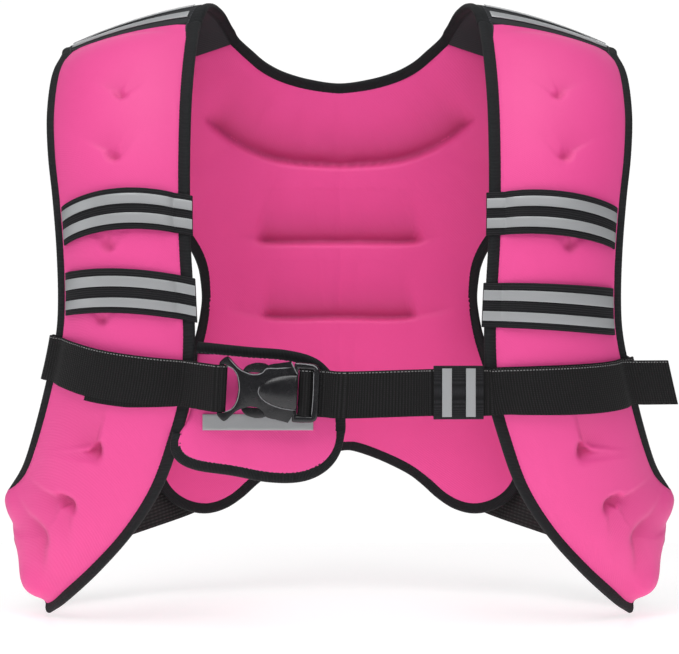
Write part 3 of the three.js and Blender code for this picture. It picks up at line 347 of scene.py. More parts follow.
def yoke_step(i):
    return YOKE_END + (1 - 2 * YOKE_END) * (i / YOKE_STEPS)


print("right yoke's middle:", yoke_base(1, 0.5, 0.5)[0].round(1), "mm")


# %% [markdown]
# ## Two ways to turn a grid into a strip
#
# Webbing, elastic and tape are long strips. A grid from bmesh gives the faces, and a function says
# where each place along and across the strip lies. A thin strip then gets its wall from the Solidify
# modifier. A folded tape is a grid that closes on itself into a flat tube. Both carry a UV map in
# millimetres, so that ribs and stitches keep their real size in the material.

# %% Helpers for strips
def finish_piece(piece, material, slot, *nodes):
    piece.data.materials.append(material)
    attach(piece, "root")
    if nodes:
        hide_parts(*nodes)
    for polygon in piece.data.polygons:
        polygon.use_smooth = True
    print(piece.name, len(piece.data.polygons), "faces of", material.name)
    return piece


def mesh_piece(name, bm):
    mesh = bpy.data.meshes.new(name)
    bm.to_mesh(mesh)
    bm.free()
    piece = bpy.data.objects.new(name, mesh)
    scene.collection.objects.link(piece)
    return piece


def bend_grid(bm, steps, columns, place, size):
    """A grid bent into place. place takes shares along and across, size is in millimetres."""
    bmesh.ops.create_grid(bm, x_segments=steps, y_segments=columns, size=0.5)
    uv = bm.loops.layers.uv.new("cloth")
    for face in bm.faces:
        for loop in face.loops:
            a, b = loop.vert.co.x + 0.5, loop.vert.co.y + 0.5
            loop[uv].uv = (a * size[0], b * size[1])
    flat = np.array([v.co[:] for v in bm.verts]) + 0.5
    for v, co in zip(bm.verts, place(flat[:, 0], flat[:, 1]) * MM):
        v.co = co


def give_wall(piece, wall):
    solid = piece.modifiers.new("wall", "SOLIDIFY")
    solid.thickness = wall * MM
    solid.offset = 0


def round_edges(piece, width, segments=2, angle=50):
    """Rounds the edges that turn by more than angle, in degrees. width is in millimetres."""
    rounded = piece.modifiers.new("soft_edge", "BEVEL")
    rounded.width = width * MM
    rounded.segments = segments
    rounded.limit_method = "ANGLE"
    rounded.angle_limit = math.radians(angle)
    rounded.material = -1


def strip(name, steps, columns, place, size, wall, outward):
    """A thin strip with a wall on both sides of its middle. outward is a way that its front faces."""
    bm = bmesh.new()
    bend_grid(bm, steps, columns, place, size)
    bm.faces.ensure_lookup_table()
    bm.normal_update()
    if bm.faces[len(bm.faces) // 2].normal.dot(Vector(outward)) < 0:
        bmesh.ops.reverse_faces(bm, faces=bm.faces)
    piece = mesh_piece(name, bm)
    give_wall(piece, wall)
    round_edges(piece, wall * 0.3)
    return piece


# Half of a folded tape's section: across from the pad to the fold, and half its height. It starts a
# little over the pad, and the row of stitches pulls it in.
TAPE_SECTION = [[-0.16, 0], [-0.17, 0.62], [-0.1, 0.86], [0.03, 0.9], [0.16, 0.76], [0.3, 0.84],
                [0.55, 1], [0.8, 0.9], [0.94, 0.6], [1, 0]]
TAPE_COLUMNS = 24
WELD = 1e-6


def folded_tape(name, edge, steps):
    """A tape folded over an edge. edge holds places, ways out, normals and widths."""
    places, outs, normals, widths = edge
    rows = np.hstack([places, outs, normals, row(widths)[:, None] * np.ones((len(places), 1))])
    middle = places + outs * rows[:, 9:] * 0.5
    lengths = np.concatenate([[0], np.cumsum(np.linalg.norm(np.diff(middle, axis=0), axis=1))])

    def place(a, b):
        share = np.interp(a * lengths[-1], lengths, np.arange(len(rows))) / (len(rows) - 1)
        r = table_at(rows, share)
        front = b <= 0.5
        x, h = table_at(TAPE_SECTION, np.where(front, 2 * b, 2 - 2 * b)).T
        pucker = 0.1 * np.sin(a * lengths[-1] * 2.1 + 4 * b) * np.sin(a * lengths[-1] * 0.37) * (h > 0.1)
        height = (h * TAPE_WALL / 2 + pucker) * np.where(front, 1, -1)
        return r[:, :3] + unit(r[:, 3:6]) * (x * r[:, 9])[:, None] + unit(r[:, 6:9]) * height[:, None]

    bm = bmesh.new()
    bend_grid(bm, steps, TAPE_COLUMNS, place, (lengths[-1], 1))
    bmesh.ops.remove_doubles(bm, verts=bm.verts, dist=WELD)
    bmesh.ops.holes_fill(bm, edges=[e for e in bm.edges if e.is_boundary], sides=0)
    bmesh.ops.recalc_face_normals(bm, faces=bm.faces)
    print(name, round(lengths[-1]), "mm long,", len(bm.faces), "faces")
    return mesh_piece(name, bm)


# %% [markdown]
# ## Finishes
#
# Every finish is a node material. The pink cloth is a fine knit bonded to neoprene: soft, slightly
# silky, with a diagonal rib that shows only close by. Webbing and elastic have ribs at their real
# pitch, and a row of stitches is a dotted line in the same UV map. Image textures would look the same
# but couldn't be changed with a number.

# %% Node helpers
def node_material(name):
    m = bpy.data.materials.new(name)
    m.use_nodes = True
    nodes = m.node_tree.nodes
    nodes.clear()
    out = nodes.new("ShaderNodeOutputMaterial")
    shader = nodes.new("ShaderNodeBsdfPrincipled")
    m.node_tree.links.new(shader.outputs[0], out.inputs[0])
    return m, shader


def add(m, kind, **values):
    node = m.node_tree.nodes.new(kind)
    for key, value in values.items():
        if key in node.inputs:
            node.inputs[key].default_value = value
        else:
            setattr(node, key, value)
    return node


def math_node(m, operation, a, b=None):
    node = add(m, "ShaderNodeMath", operation=operation)
    for k, value in enumerate((a, b)):
        if value is None:
            continue
        if isinstance(value, (int, float)):
            node.inputs[k].default_value = value
        else:
            m.node_tree.links.new(value, node.inputs[k])
    return node.outputs[0]


def link(m, a, b):
    m.node_tree.links.new(a, b)


def colour_mix(m, share, a, b):
    node = add(m, "ShaderNodeMix", data_type="RGBA")
    link(m, share, node.inputs[0])
    for value, socket in ((a, node.inputs[6]), (b, node.inputs[7])):
        if isinstance(value, tuple):
            socket.default_value = (*value, 1)
        else:
            link(m, value, socket)
    return node.outputs[2]


def bump(m, shader, height, depth, distance):
    node = add(m, "ShaderNodeBump", Strength=depth, Distance=distance * MM)
    link(m, height, node.inputs["Height"])
    link(m, node.outputs[0], shader.inputs["Normal"])


def cloth_map(m):
    """The piece's own UV map, in millimetres along and across."""
    return add(m, "ShaderNodeUVMap", uv_map="cloth").outputs[0]


def waves(m, vector, axis, pitch):
    """Ribs across an axis of the UV map, one each pitch in millimetres, from 0 to 1."""
    split = add(m, "ShaderNodeSeparateXYZ")
    link(m, vector, split.inputs[0])
    turn = math_node(m, "MULTIPLY", split.outputs[axis], 2 * math.pi / pitch)
    return math_node(m, "ADD", math_node(m, "MULTIPLY", math_node(m, "SINE", turn), 0.5), 0.5)


# %% Pink knit over neoprene, with painted shade in its creases and seams
def neoprene(name, pink, dark):
    m, shader = node_material(name)
    place = add(m, "ShaderNodeTexCoord").outputs["Object"]
    cloud = add(m, "ShaderNodeTexNoise", Scale=9.0, Detail=3.0)
    link(m, place, cloud.inputs["Vector"])
    knit = add(m, "ShaderNodeTexWave", wave_type="BANDS", bands_direction="DIAGONAL", Scale=330.0,
               Distortion=1.2, Detail=1.0)
    link(m, place, knit.inputs["Vector"])
    grain = add(m, "ShaderNodeTexNoise", Scale=1400.0, Detail=2.0)
    link(m, place, grain.inputs["Vector"])
    tone = math_node(m, "MULTIPLY", cloud.outputs[0], 0.55)
    shade = colour_mix(m, tone, pink, dark)
    fleck = math_node(m, "MULTIPLY", grain.outputs[0], 0.22)
    # Painted shade: the colour darkens to a deeper pink by the crease depth stored on the pads, so
    # creases and seams look shaded.
    painted_shade = add(m, "ShaderNodeAttribute", attribute_name="painted_shade").outputs["Fac"]
    deep = math_node(m, "MULTIPLY", painted_shade, 0.75)
    inside = (dark[0] * 0.55, dark[1] * 0.45, dark[2] * 0.5)
    link(m, colour_mix(m, deep, colour_mix(m, fleck, shade, dark), inside), shader.inputs["Base Color"])
    height = math_node(m, "ADD", math_node(m, "MULTIPLY", knit.outputs[0], 0.6), grain.outputs[0])
    bump(m, shader, height, 0.35, 0.25)
    shader.inputs["Roughness"].default_value = 0.62
    shader.inputs["Sheen Weight"].default_value = 0.14
    shader.inputs["Sheen Roughness"].default_value = 0.45
    shader.inputs["Sheen Tint"].default_value = (1.0, 0.62, 0.8, 1)
    return m


PINK = neoprene("pink_knit", (0.85, 0.074, 0.325), (0.70, 0.045, 0.23))
print("finish:", PINK.name)


# %% Black cloths: tape, webbing, elastic, yoke and gusset
def ribbed(name, black, light, pitch, across, depth, stitches=(), weave=0.0):
    """A black strip with ribs. across is the rib's axis in the UV map and weave the pitch of the other
    ribs, if it has any. Each row of stitches has its place across, half its width, the pitch of its
    threads and their colour, in the units of the UV map."""
    m, shader = node_material(name)
    place = cloth_map(m)
    rib = waves(m, place, across, pitch)
    grain = add(m, "ShaderNodeTexNoise", Scale=1.6, Detail=3.0)
    link(m, place, grain.inputs["Vector"])
    height = rib
    if weave:
        other = waves(m, place, 1 - across, weave)
        part = math_node(m, "ADD", math_node(m, "MULTIPLY", other, 0.6), 0.4)
        height = math_node(m, "MULTIPLY", rib, part)
    tone = math_node(m, "MULTIPLY", height, math_node(m, "ADD", grain.outputs[0], 0.1))
    colour = colour_mix(m, tone, black, light)
    split = add(m, "ShaderNodeSeparateXYZ")
    link(m, place, split.inputs[0])
    for line, half, length, thread in stitches:
        away = math_node(m, "ABSOLUTE", math_node(m, "SUBTRACT", split.outputs[1], line))
        near = math_node(m, "LESS_THAN", away, half)
        dash = math_node(m, "GREATER_THAN", waves(m, place, 0, length), 0.35)
        mask = math_node(m, "MULTIPLY", near, dash)
        colour = colour_mix(m, mask, colour, thread)
        height = math_node(m, "ADD", height, mask)
    link(m, colour, shader.inputs["Base Color"])
    bump(m, shader, height, depth, 0.4)
    shader.inputs["Roughness"].default_value = 0.8
    shader.inputs["Specular IOR Level"].default_value = 0.22
    shader.inputs["Sheen Weight"].default_value = 0.03
    shader.inputs["Sheen Roughness"].default_value = 0.5
    return m


TAPE = ribbed("binding_tape", (0.004, 0.0045, 0.005), (0.026, 0.028, 0.031), 1.0, 0, 0.45,
              stitches=((0.135, 0.012, 2.8, (0.09, 0.09, 0.1)),))
WEBBING = ribbed("belt_webbing", (0.003, 0.003, 0.003), (0.026, 0.025, 0.027), 1.9, 0, 0.7,
                 stitches=((1.2, 0.3, 2.2, (0.2, 0.2, 0.2)),), weave=1.4)
ELASTIC = ribbed("band_elastic", (0.006, 0.006, 0.007), (0.034, 0.034, 0.038), 1.5, 1, 0.6, weave=1.1)
GUSSET = ribbed("gusset_elastic", (0.01, 0.01, 0.01), (0.055, 0.055, 0.055), 2.4, 1, 0.8, weave=1.2)
YOKE = ribbed("yoke_knit", (0.02, 0.021, 0.023), (0.05, 0.052, 0.056), 1.1, 0, 0.3, weave=1.1)
print("black cloths:", [m.name for m in (TAPE, WEBBING, ELASTIC, GUSSET, YOKE)])


# %% Reflective tape, glossy plastic and the buckle's painted highlights
def reflective():
    m, shader = node_material("reflective_tape")
    place = cloth_map(m)
    grain = add(m, "ShaderNodeTexNoise", Scale=2.5, Detail=3.0)
    link(m, place, grain.inputs["Vector"])
    silver = colour_mix(m, grain.outputs[0], (0.30, 0.31, 0.32), (0.42, 0.43, 0.44))
    link(m, silver, shader.inputs["Base Color"])
    bump(m, shader, grain.outputs[0], 0.15, 0.15)
    shader.inputs["Roughness"].default_value = 0.42
    shader.inputs["Metallic"].default_value = 0.25
    return m


def moulded(name, dark, light):
    m, shader = node_material(name)
    place = add(m, "ShaderNodeTexCoord").outputs["Object"]
    grain = add(m, "ShaderNodeTexNoise", Scale=260.0, Detail=2.0)
    link(m, place, grain.inputs["Vector"])
    link(m, colour_mix(m, grain.outputs[0], dark, light), shader.inputs["Base Color"])
    rough = math_node(m, "ADD", math_node(m, "MULTIPLY", grain.outputs[0], 0.12), 0.2)
    link(m, rough, shader.inputs["Roughness"])
    bump(m, shader, grain.outputs[0], 0.06, 0.1)
    return m


REFLECTIVE = reflective()
PLASTIC = moulded("buckle_plastic", (0.006, 0.006, 0.007), (0.014, 0.014, 0.016))
# Painted highlight: the rims are a lighter grey than the black plastic, standing in for the light that
# catches the buckle's edges.
PAINTED_HIGHLIGHT = moulded("buckle_painted_highlight", (0.16, 0.16, 0.17), (0.26, 0.26, 0.27))
print("finishes:", [m.name for m in (REFLECTIVE, PLASTIC, PAINTED_HIGHLIGHT)])

# %% [markdown]
# ## Padded panels
#
# Each panel is two layers of neoprene round a soft weighted filling, sewn together at the edge and at
# a few tacks or seams. One fine grid runs round the panel's section, out over its outer layer and back
# behind it, so that its edge is clean. The Cloth simulation then blows it up a little with air
# pressure, while the sewn places are held. That gives the taut swells between the tacks that modelling
# by hand seldom gets right. How far a point may move is capped, so the panel stays in its place.

# %% A pad as one grid round its section
def pad_grid(name, steps, columns, layer):
    """layer takes shares across and along and the side: 1 for the outer layer, -1 for the inner."""
    def place(a, b):
        a, b = np.round(a, 6), np.round(b, 6)
        way = np.where(b <= 0.5, 1, -1)
        share = np.where(b <= 0.5, 2 * b, 2 - 2 * b)
        closer = (1 - np.cos(math.pi * share)) / 2
        return layer(mix(share, closer, 0.4), a, way)

    bm = bmesh.new()
    bend_grid(bm, steps, 2 * columns, place, (1, 1))
    bmesh.ops.remove_doubles(bm, verts=bm.verts, dist=10 * WELD)
    bmesh.ops.recalc_face_normals(bm, faces=bm.faces)
    print(name, "open edges:", sum(e.is_boundary for e in bm.edges))
    return mesh_piece(name, bm)


def rim(across, along):
    """Half the pad's thickness at its sewn edge, rounded off to nothing."""
    sides = np.minimum(1, 14 * across * (1 - across))
    ends = np.minimum(1, 60 * along * (1 - along))
    return PAD_EDGE / 2 * np.sqrt(sides * ends)


def vectors(items, field):
    values = np.empty(len(items) * 3)
    items.foreach_get(field, values)
    return values.reshape(-1, 3)


def points_of(mesh):
    return vectors(mesh.vertices, "co")


def normals_of(mesh):
    return vectors(mesh.vertex_normals, "vector")


def move_points(piece, co):
    piece.data.vertices.foreach_set("co", co.ravel())
    piece.data.update()


# %% Blow a panel up between its held places
SWELL_FRAMES = 20
SWELL_CAP = 3
HELD_EDGE = 4
TUCK = 3.6


def swell(piece, held):
    """held is True where a point is sewn. No point moves further than the cap."""
    start = points_of(piece.data)
    group = piece.vertex_groups.new(name="sewn")
    group.add([int(i) for i in np.flatnonzero(held)], 1.0, "REPLACE")
    cloth = piece.modifiers.new("swell", "CLOTH")
    s = cloth.settings
    s.quality = 3
    s.use_pressure = True
    s.uniform_pressure_force = 4
    s.effector_weights.gravity = 0
    s.vertex_group_mass = group.name
    s.tension_stiffness = 12
    s.compression_stiffness = 12
    s.bending_stiffness = 0.6
    cloth.point_cache.frame_start = 1
    cloth.point_cache.frame_end = SWELL_FRAMES
    for frame_number in range(1, SWELL_FRAMES + 1):
        scene.frame_set(frame_number)
    graph = bpy.context.evaluated_depsgraph_get()
    moved = points_of(piece.evaluated_get(graph).data) - start
    piece.modifiers.clear()
    scene.frame_set(1)
    far = np.linalg.norm(moved, axis=1)
    limit = SWELL_CAP * MM
    shrink = np.where(far > 1e-9, limit * np.tanh(far / limit) / np.maximum(far, 1e-9), 0)
    move_points(piece, start + moved * shrink[:, None])
    print(piece.name, "swelled by up to", round(float((far * shrink).max() * 1000), 1), "mm")


def refine(piece):
    bm = bmesh.new()
    bm.from_mesh(piece.data)
    bmesh.ops.subdivide_edges(bm, edges=bm.edges, cuts=1, use_grid_fill=True)
    bmesh.ops.smooth_vert(bm, verts=bm.verts, factor=0.5, use_axis_x=True, use_axis_y=True,
                          use_axis_z=True)
    bm.to_mesh(piece.data)
    bm.free()


def push(piece, shift, painted_shades):
    """Moves each point along its normal by shift, in millimetres, and stores a painted shade from how
    deep in a crease it is, which darkens the cloth's colour there.
    """
    depth = piece.data.attributes.new("painted_shade", "FLOAT", "POINT")
    depth.data.foreach_set("value", np.clip(painted_shades, 0, 1).astype(np.float32))
    move_points(piece, points_of(piece.data) + normals_of(piece.data) * (shift * MM)[:, None])


# %% Sewn edges, seams and creases
def distance_to(co, places):
    """How far each point lies from the nearest of the places, and which one that is."""
    away, which = np.empty(len(co)), np.empty(len(co), int)
    block = 4000
    for start in range(0, len(co), block):
        part = slice(start, start + block)
        apart = co[part] @ places.T * -2 + (places ** 2).sum(1) + (co[part] ** 2).sum(1)[:, None]
        which[part] = apart.argmin(axis=1)
        away[part] = np.sqrt(np.maximum(apart.min(axis=1), 0))
    return away, which


def tuck(piece, places, outs, reach):
    """Draws the panel's sewn edge out under its binding, so that no gap shows."""
    co = points_of(piece.data) / MM
    away, which = distance_to(co, places)
    co += outs[which] * (reach * np.exp(-(away / 6) ** 2))[:, None]
    move_points(piece, co * MM)


def crease(co, path, soft_ways, strength, depth, sharp, soft):
    """Depth of a crease: the cloth drops steeply on one side of its path and slowly on the other."""
    reach = 3 * max(sharp, soft)
    low, high = path.min(axis=0) - reach, path.max(axis=0) + reach
    near = np.flatnonzero(((co > low) & (co < high)).all(axis=1))
    drop = np.zeros(len(co))
    if len(near):
        away, which = distance_to(co[near], path)
        beside = np.einsum("ij,ij->i", co[near] - path[which], soft_ways[which]) / np.maximum(away, 1e-6)
        fall = mix((away / sharp) ** 2, away / soft, ease(0.5 + beside))
        drop[near] = depth * strength[which] * np.exp(-fall)
    return drop


# %% Front panels
# Columns of a crease: depth, width of its sharp side and of its soft side in mm, the place on the
# pattern that its soft side faces, then the rows of its path. Places are shares across and along.
FRONT_CREASES = [
    [4.4, 1.8, 9, (0.45, 0.10), [(0.49, 0.139), (0.46, 0.148), (0.42, 0.15), (0.39, 0.145)]],
    [5.0, 1.8, 12, (0.52, 0.19), [(0.54, 0.224), (0.51, 0.235), (0.47, 0.237), (0.43, 0.234)]],
    [4.4, 3.0, 13, (0.56, 0.31), [(0.6, 0.352), (0.55, 0.362), (0.5, 0.358)]],
    [4.0, 3.0, 13, (0.62, 0.42), [(0.66, 0.456), (0.62, 0.465), (0.57, 0.46)]],
    [8.5, 3.0, 17, (0.7, 0.61), [(0.495, 0.65), (0.47, 0.656), (0.45, 0.665), (0.445, 0.674)]],
    [7.5, 2.4, 13, (0.62, 0.79), [(0.60, 0.741), (0.571, 0.737), (0.521, 0.739), (0.461, 0.745),
                                 (0.416, 0.756), (0.406, 0.766)]],
    [4.4, 3.4, 11, (0.75, 0.9), [(0.70, 0.784), (0.64, 0.789), (0.571, 0.796), (0.493, 0.808),
                                 (0.42, 0.826), (0.37, 0.845), (0.30, 0.872), (0.24, 0.892)]],
]
# A few wider swells of the tail's far side. Columns: share across and along, height and radius in mm.
FRONT_SWELLS = [[0.9, 0.8, 6, 18], [0.64, 0.93, -8, 21], [0.45, 0.95, -3, 16], [0.2, 0.95, 7, 15]]
# What the panel starts lower than its solid, in mm, because the simulation swells it.
FRONT_ROOM = 1.5


def front_layer(side):
    def layer(across, along, way):
        t = mix(-0.01, 1.006, along)
        a, b = pad_limits(side, t)
        p, n = front_frame(side, mix(a, b, across), t)[:2]
        end = np.clip(60 * along * (1 - along), 0, 1) ** 0.5
        end *= ease((1 - t) / 0.05 + 0.25) * ease(t / 0.04 + 0.1)
        full = table_at(FRONT_ROWS, t)[:, 6] * fullness(across) ** 1.15 * end
        puff = np.where(way > 0, FRONT_PUFF_OUT, FRONT_PUFF_IN) - FRONT_ROOM
        return p + n * (way * (rim(across, along) + puff * full))[:, None]

    return layer


def front_surface(side, s, t):
    p, n = front_frame(side, s, t)[:2]
    return p + n * front_out(side, s, t)[:, None], n


def front_panel(side, hand):
    node = f"front_panel_{hand}"
    piece = pad_grid(f"pad_{node}", 160, 36, front_layer(side))
    t = np.linspace(0, 1, 160)
    low, high = pad_limits(side, t)
    inner, outer = front_frame(side, low, t), front_frame(side, high, t)
    across = np.linspace(0.04, 0.96, 40)
    top, end = front_frame(side, across, 0), front_frame(side, across, 1)
    places = np.vstack([inner[0], outer[0], top[0], end[0]])
    outs = np.vstack([-inner[2], outer[2], -top[3], end[3]])
    co = points_of(piece.data) / MM
    held = distance_to(co, places)[0] < HELD_EDGE
    paths = []
    for depth, sharp, soft, toward, rows in FRONT_CREASES:
        s, t = table_at(rows, np.linspace(0, 1, 40)).T
        path = front_surface(side, s, t)[0]
        paths.append((path, unit(front_surface(side, *toward)[0] - path)))
        held |= distance_to(co, path)[0] < 2.5
    swell(piece, held)
    tuck(piece, places, outs, TUCK)
    refine(piece)
    co = points_of(piece.data) / MM
    shift = np.zeros(len(co))
    fade = np.sin(np.linspace(0.12, 0.94, 40) * math.pi) ** 0.8
    for (path, ways), (depth, sharp, soft, _, _) in zip(paths, FRONT_CREASES):
        shift -= crease(co, path, ways, fade, depth, sharp, soft)
    # Painted shade: how deep each point lies in a crease, stored on the panel to darken its colour
    # there.
    painted_shades = -shift / 7
    for s, t, height, radius in FRONT_SWELLS:
        away = np.linalg.norm(co - front_surface(side, s, t)[0], axis=1) / radius
        shift += height * np.exp(-away ** 2)
    push(piece, shift, painted_shades)
    finish_piece(piece, PINK, "neoprene", node)


for side, hand in HANDS:
    front_panel(side, hand)

# %% Back panel
# Seams: depth, widths of the sharp and the soft side in mm, and how far across the seam is deep.
SEAM_SHAPES = [[9, 2.4, 15, 0.6], [8.5, 2.2, 13, 0.3], [8.5, 2.2, 13, 0.28]]
BACK_ROOM = 1


def seam_points(seam):
    """A quilting seam on the middle surface of the back panel, from end to end."""
    x, z = outline_at(seam, np.linspace(0, 1, 60)).T
    return back_frame(np.concatenate([-x[::-1], x]), np.concatenate([z[::-1], z]))[0]


def around_back():
    """Places round the back panel's edge and the way out at each."""
    share = np.linspace(0, 1, 120)
    half = np.vstack([back_place(share, 0), back_place(1, share), back_place(share[::-1], 1)])
    inside = np.vstack([back_place(share, 0.02), back_place(0.98, share), back_place(share[::-1], 0.98)])
    edge, within = back_frame(*half.T)[0], back_frame(*inside.T)[0]
    outs = unit(edge - within)
    other = edge * np.array([-1, 1, 1])
    return np.vstack([edge, other]), np.vstack([outs, outs * np.array([-1, 1, 1])])


def back_layer(across, along, way):
    p, n = back_frame(*back_place(2 * across - 1, along).T)
    full = fullness(across) * np.minimum(1, fullness(along) * 1.05)
    puff = np.where(way > 0, BACK_PUFF_OUT, BACK_PUFF_IN) - BACK_ROOM
    return p + n * (way * (rim(across, along) + puff * full))[:, None]


def back_panel():
    piece = pad_grid("pad_back_panel", 110, 100, back_layer)
    places, outs = around_back()
    co = points_of(piece.data) / MM
    held = distance_to(co, places)[0] < HELD_EDGE
    for seam in BACK_SEAMS:
        held |= distance_to(co, seam_points(seam) - np.array([0, BACK_PUFF_IN, 0]))[0] < 2.4
    swell(piece, held)
    tuck(piece, places, outs, TUCK)
    refine(piece)
    co, n = points_of(piece.data) / MM, normals_of(piece.data)
    shift = np.zeros(len(co))
    for seam, (depth, sharp, soft, deep) in zip(BACK_SEAMS, SEAM_SHAPES):
        path = seam_points(seam)
        across = np.abs(path[:, 0]) / BACK_HALF
        strength = mix(1, 0.16, ease((across - deep) / 0.07))
        strength *= 1 - ease((across - seam[-1][0] + 0.09) / 0.09)
        for way, lift in ((-1, BACK_PUFF_IN), (1, BACK_PUFF_OUT)):
            near = path + np.array([0, way * lift, 0])
            up = np.array([[0, 0, 1.0]]) * np.ones((len(path), 1))
            dip = crease(co, near, up, strength, depth * (1 if way < 0 else 0.6), sharp, soft)
            shift -= dip * (n[:, 1] * way > 0)
    # The seams' depth is also stored as a painted shade that darkens the cloth's colour in them.
    push(piece, shift, -shift / 8)
    finish_piece(piece, PINK, "neoprene", "back_panel")


back_panel()

# %% [markdown]
# ## Bindings
#
# A tape is folded over every raw edge of the neoprene and sewn through. The fold is round, and the
# row of stitches a third of the way across pulls the tape in.

# %% Bindings of the front panels
def front_tape(side, hand, edge):
    width = FRONT_TAPE if edge == "inner" else OUTER_TAPE
    t = np.linspace(0, 1, 53)
    s = width / front_span(side, t)
    places, normals, across, _, _ = front_frame(side, s if edge == "inner" else 1 - s, t)
    outs = -across if edge == "inner" else across
    node = f"front_{edge}_binding_{hand}"
    tape = folded_tape(f"tape_{node}", (places, outs, normals, width), 420)
    finish_piece(tape, TAPE, "binding", node)


for side, hand in HANDS:
    front_tape(side, hand, "inner")
    front_tape(side, hand, "outer")


# %% Bindings of the neck, the arm edges and the back panel
def yoke_edge(side, s):
    t = yoke_step(np.arange(YOKE_STEPS))
    p, n, across, _, _ = yoke_frame(side, s, t)
    out = across if s > 0.5 else -across
    start = OUTER_TAPE if s > 0.5 else FRONT_TAPE
    return p + out * EDGE_GAP, out, n, mix(start, BACK_TAPE, t)


def back_edge(places):
    p, n = back_frame(*places.T)
    tangent = np.gradient(p, axis=0)
    out = unit(np.cross(tangent, n))
    return p + out * EDGE_GAP, out, n, np.full(len(p), BACK_TAPE)


def joined(*edges):
    return tuple(np.concatenate(part) for part in zip(*edges))


def turned(edge):
    return tuple(part[::-1] for part in edge)


neck = back_place(np.arange(-5, 6) / 11, 0)
edge = joined(yoke_edge(-1, 0), back_edge(neck), turned(yoke_edge(1, 0)))
finish_piece(folded_tape("tape_neck_binding", edge, 360), TAPE, "binding", "neck_binding")

half = np.vstack([back_place(1, np.arange(23) / 22), back_place(2 * np.arange(10, -1, -1) / 22, 1)])
other = half[:-1][::-1] * np.array([-1, 1])
edge = joined(yoke_edge(1, 1), back_edge(np.vstack([half, other])), turned(yoke_edge(-1, 1)))
finish_piece(folded_tape("tape_back_binding", edge, 900), TAPE, "binding", "back_binding")

# %% [markdown]
# ## Guard flap
#
# A small padded flap lies behind the buckle and keeps it off the wearer's belly. Its outline is filled
# as one patch between four edges, and a binding runs round the three free ones. A flat shape that is
# cut out and thickened would be quicker, but its front would not swell.

# %% Guard flap and its binding
GUARD_TOP = [[-0.4, -0.566], [-0.262, -0.574], [-0.155, -0.579], [-0.082, -0.59], [-0.038, -0.612]]
GUARD_BOTTOM = [
    [-0.436, -0.692], [-0.443, -0.716], [-0.405, -0.731], [-0.3, -0.74], [-0.2, -0.75],
    [-0.118, -0.75], [-0.062, -0.738], [-0.028, -0.716], [-0.014, -0.684],
]
GUARD_END = [[-0.038, -0.612], [-0.017, -0.648], [-0.014, -0.684]]
GUARD_DEPTH = -0.975
GUARD_COLUMNS = 39
GUARD_STEPS = 6


def guard_start(z):
    """Where the left panel's inner edge lies at a height."""
    edge = front_base(-1, 0, np.linspace(0, 0.95, 400))
    return np.interp(-row(z), -edge[:, 2], edge[:, 0]) + GAP * 1.6


def guard_point(a, b):
    a, b = np.broadcast_arrays(row(a), row(b))
    top, bottom = table_at(GUARD_TOP, a), table_at(GUARD_BOTTOM, a)
    z0, z1 = GUARD_TOP[0][1], GUARD_BOTTOM[0][1]
    height = mix(z0, z1, b)
    start = np.stack([guard_start(height * DROP) / HALF_WIDTH, height], axis=1)
    end = table_at(GUARD_END, b)
    x0, x1 = guard_start(z0 * DROP)[0] / HALF_WIDTH, guard_start(z1 * DROP)[0] / HALF_WIDTH
    c = [np.array(p) for p in ([x0, z0], GUARD_TOP[-1], [x1, z1], GUARD_BOTTOM[-1])]
    fade = np.maximum(0, 1 - 4 * a)
    top[:, 0] += (x0 - GUARD_TOP[0][0]) * fade
    bottom[:, 0] += (x1 - GUARD_BOTTOM[0][0]) * fade
    a, b = a[:, None], b[:, None]
    x, z = ((1 - b) * top + b * bottom + (1 - a) * start + a * end - four_corners(a, b, c)).T
    return points(x * HALF_WIDTH, GUARD_DEPTH * FRONT_DEPTH, z * DROP)


def guard_layer(across, along, way):
    full = fullness(across) * np.minimum(1, fullness(along) * 1.2)
    p = guard_point(across, along)
    p[:, 1] -= way * (rim(across, along) + (GUARD_WALL - PAD_EDGE) / 2 * full)
    return p


def guard_pad(places, outs):
    piece = pad_grid("pad_buckle_guard", 44, 40, guard_layer)
    tuck(piece, places, outs, 3)
    refine(piece)
    finish_piece(piece, PINK, "neoprene", "buckle_guard")


def guard_tape():
    columns = np.arange(GUARD_COLUMNS + 1) / GUARD_COLUMNS
    steps = np.arange(1, GUARD_STEPS + 1) / GUARD_STEPS
    places = np.vstack([guard_point(columns, 0), guard_point(1, steps), guard_point(columns[-2::-1], 1)])
    front = np.array([[0, -1.0, 0]]) * np.ones((len(places), 1))
    out = unit(-np.cross(np.gradient(places, axis=0), front))
    edge = (places + out * EDGE_GAP, out, front, BACK_TAPE)
    finish_piece(folded_tape("tape_guard_binding", edge, 300), TAPE, "binding", "guard_binding")
    near, ways = table_at(places, np.linspace(0, 1, 200)), table_at(out, np.linspace(0, 1, 200))
    guard_pad(near, unit(ways))


guard_tape()

# %% [markdown]
# ## Yokes, gussets and bands
#
# The yokes over the shoulders are flat black neoprene. The gussets under the arms are wide ribbed
# elastic. Each front panel has two elastic loops to hold things, drawn tight over the swell of the
# panel, with two reflective stripes on each.

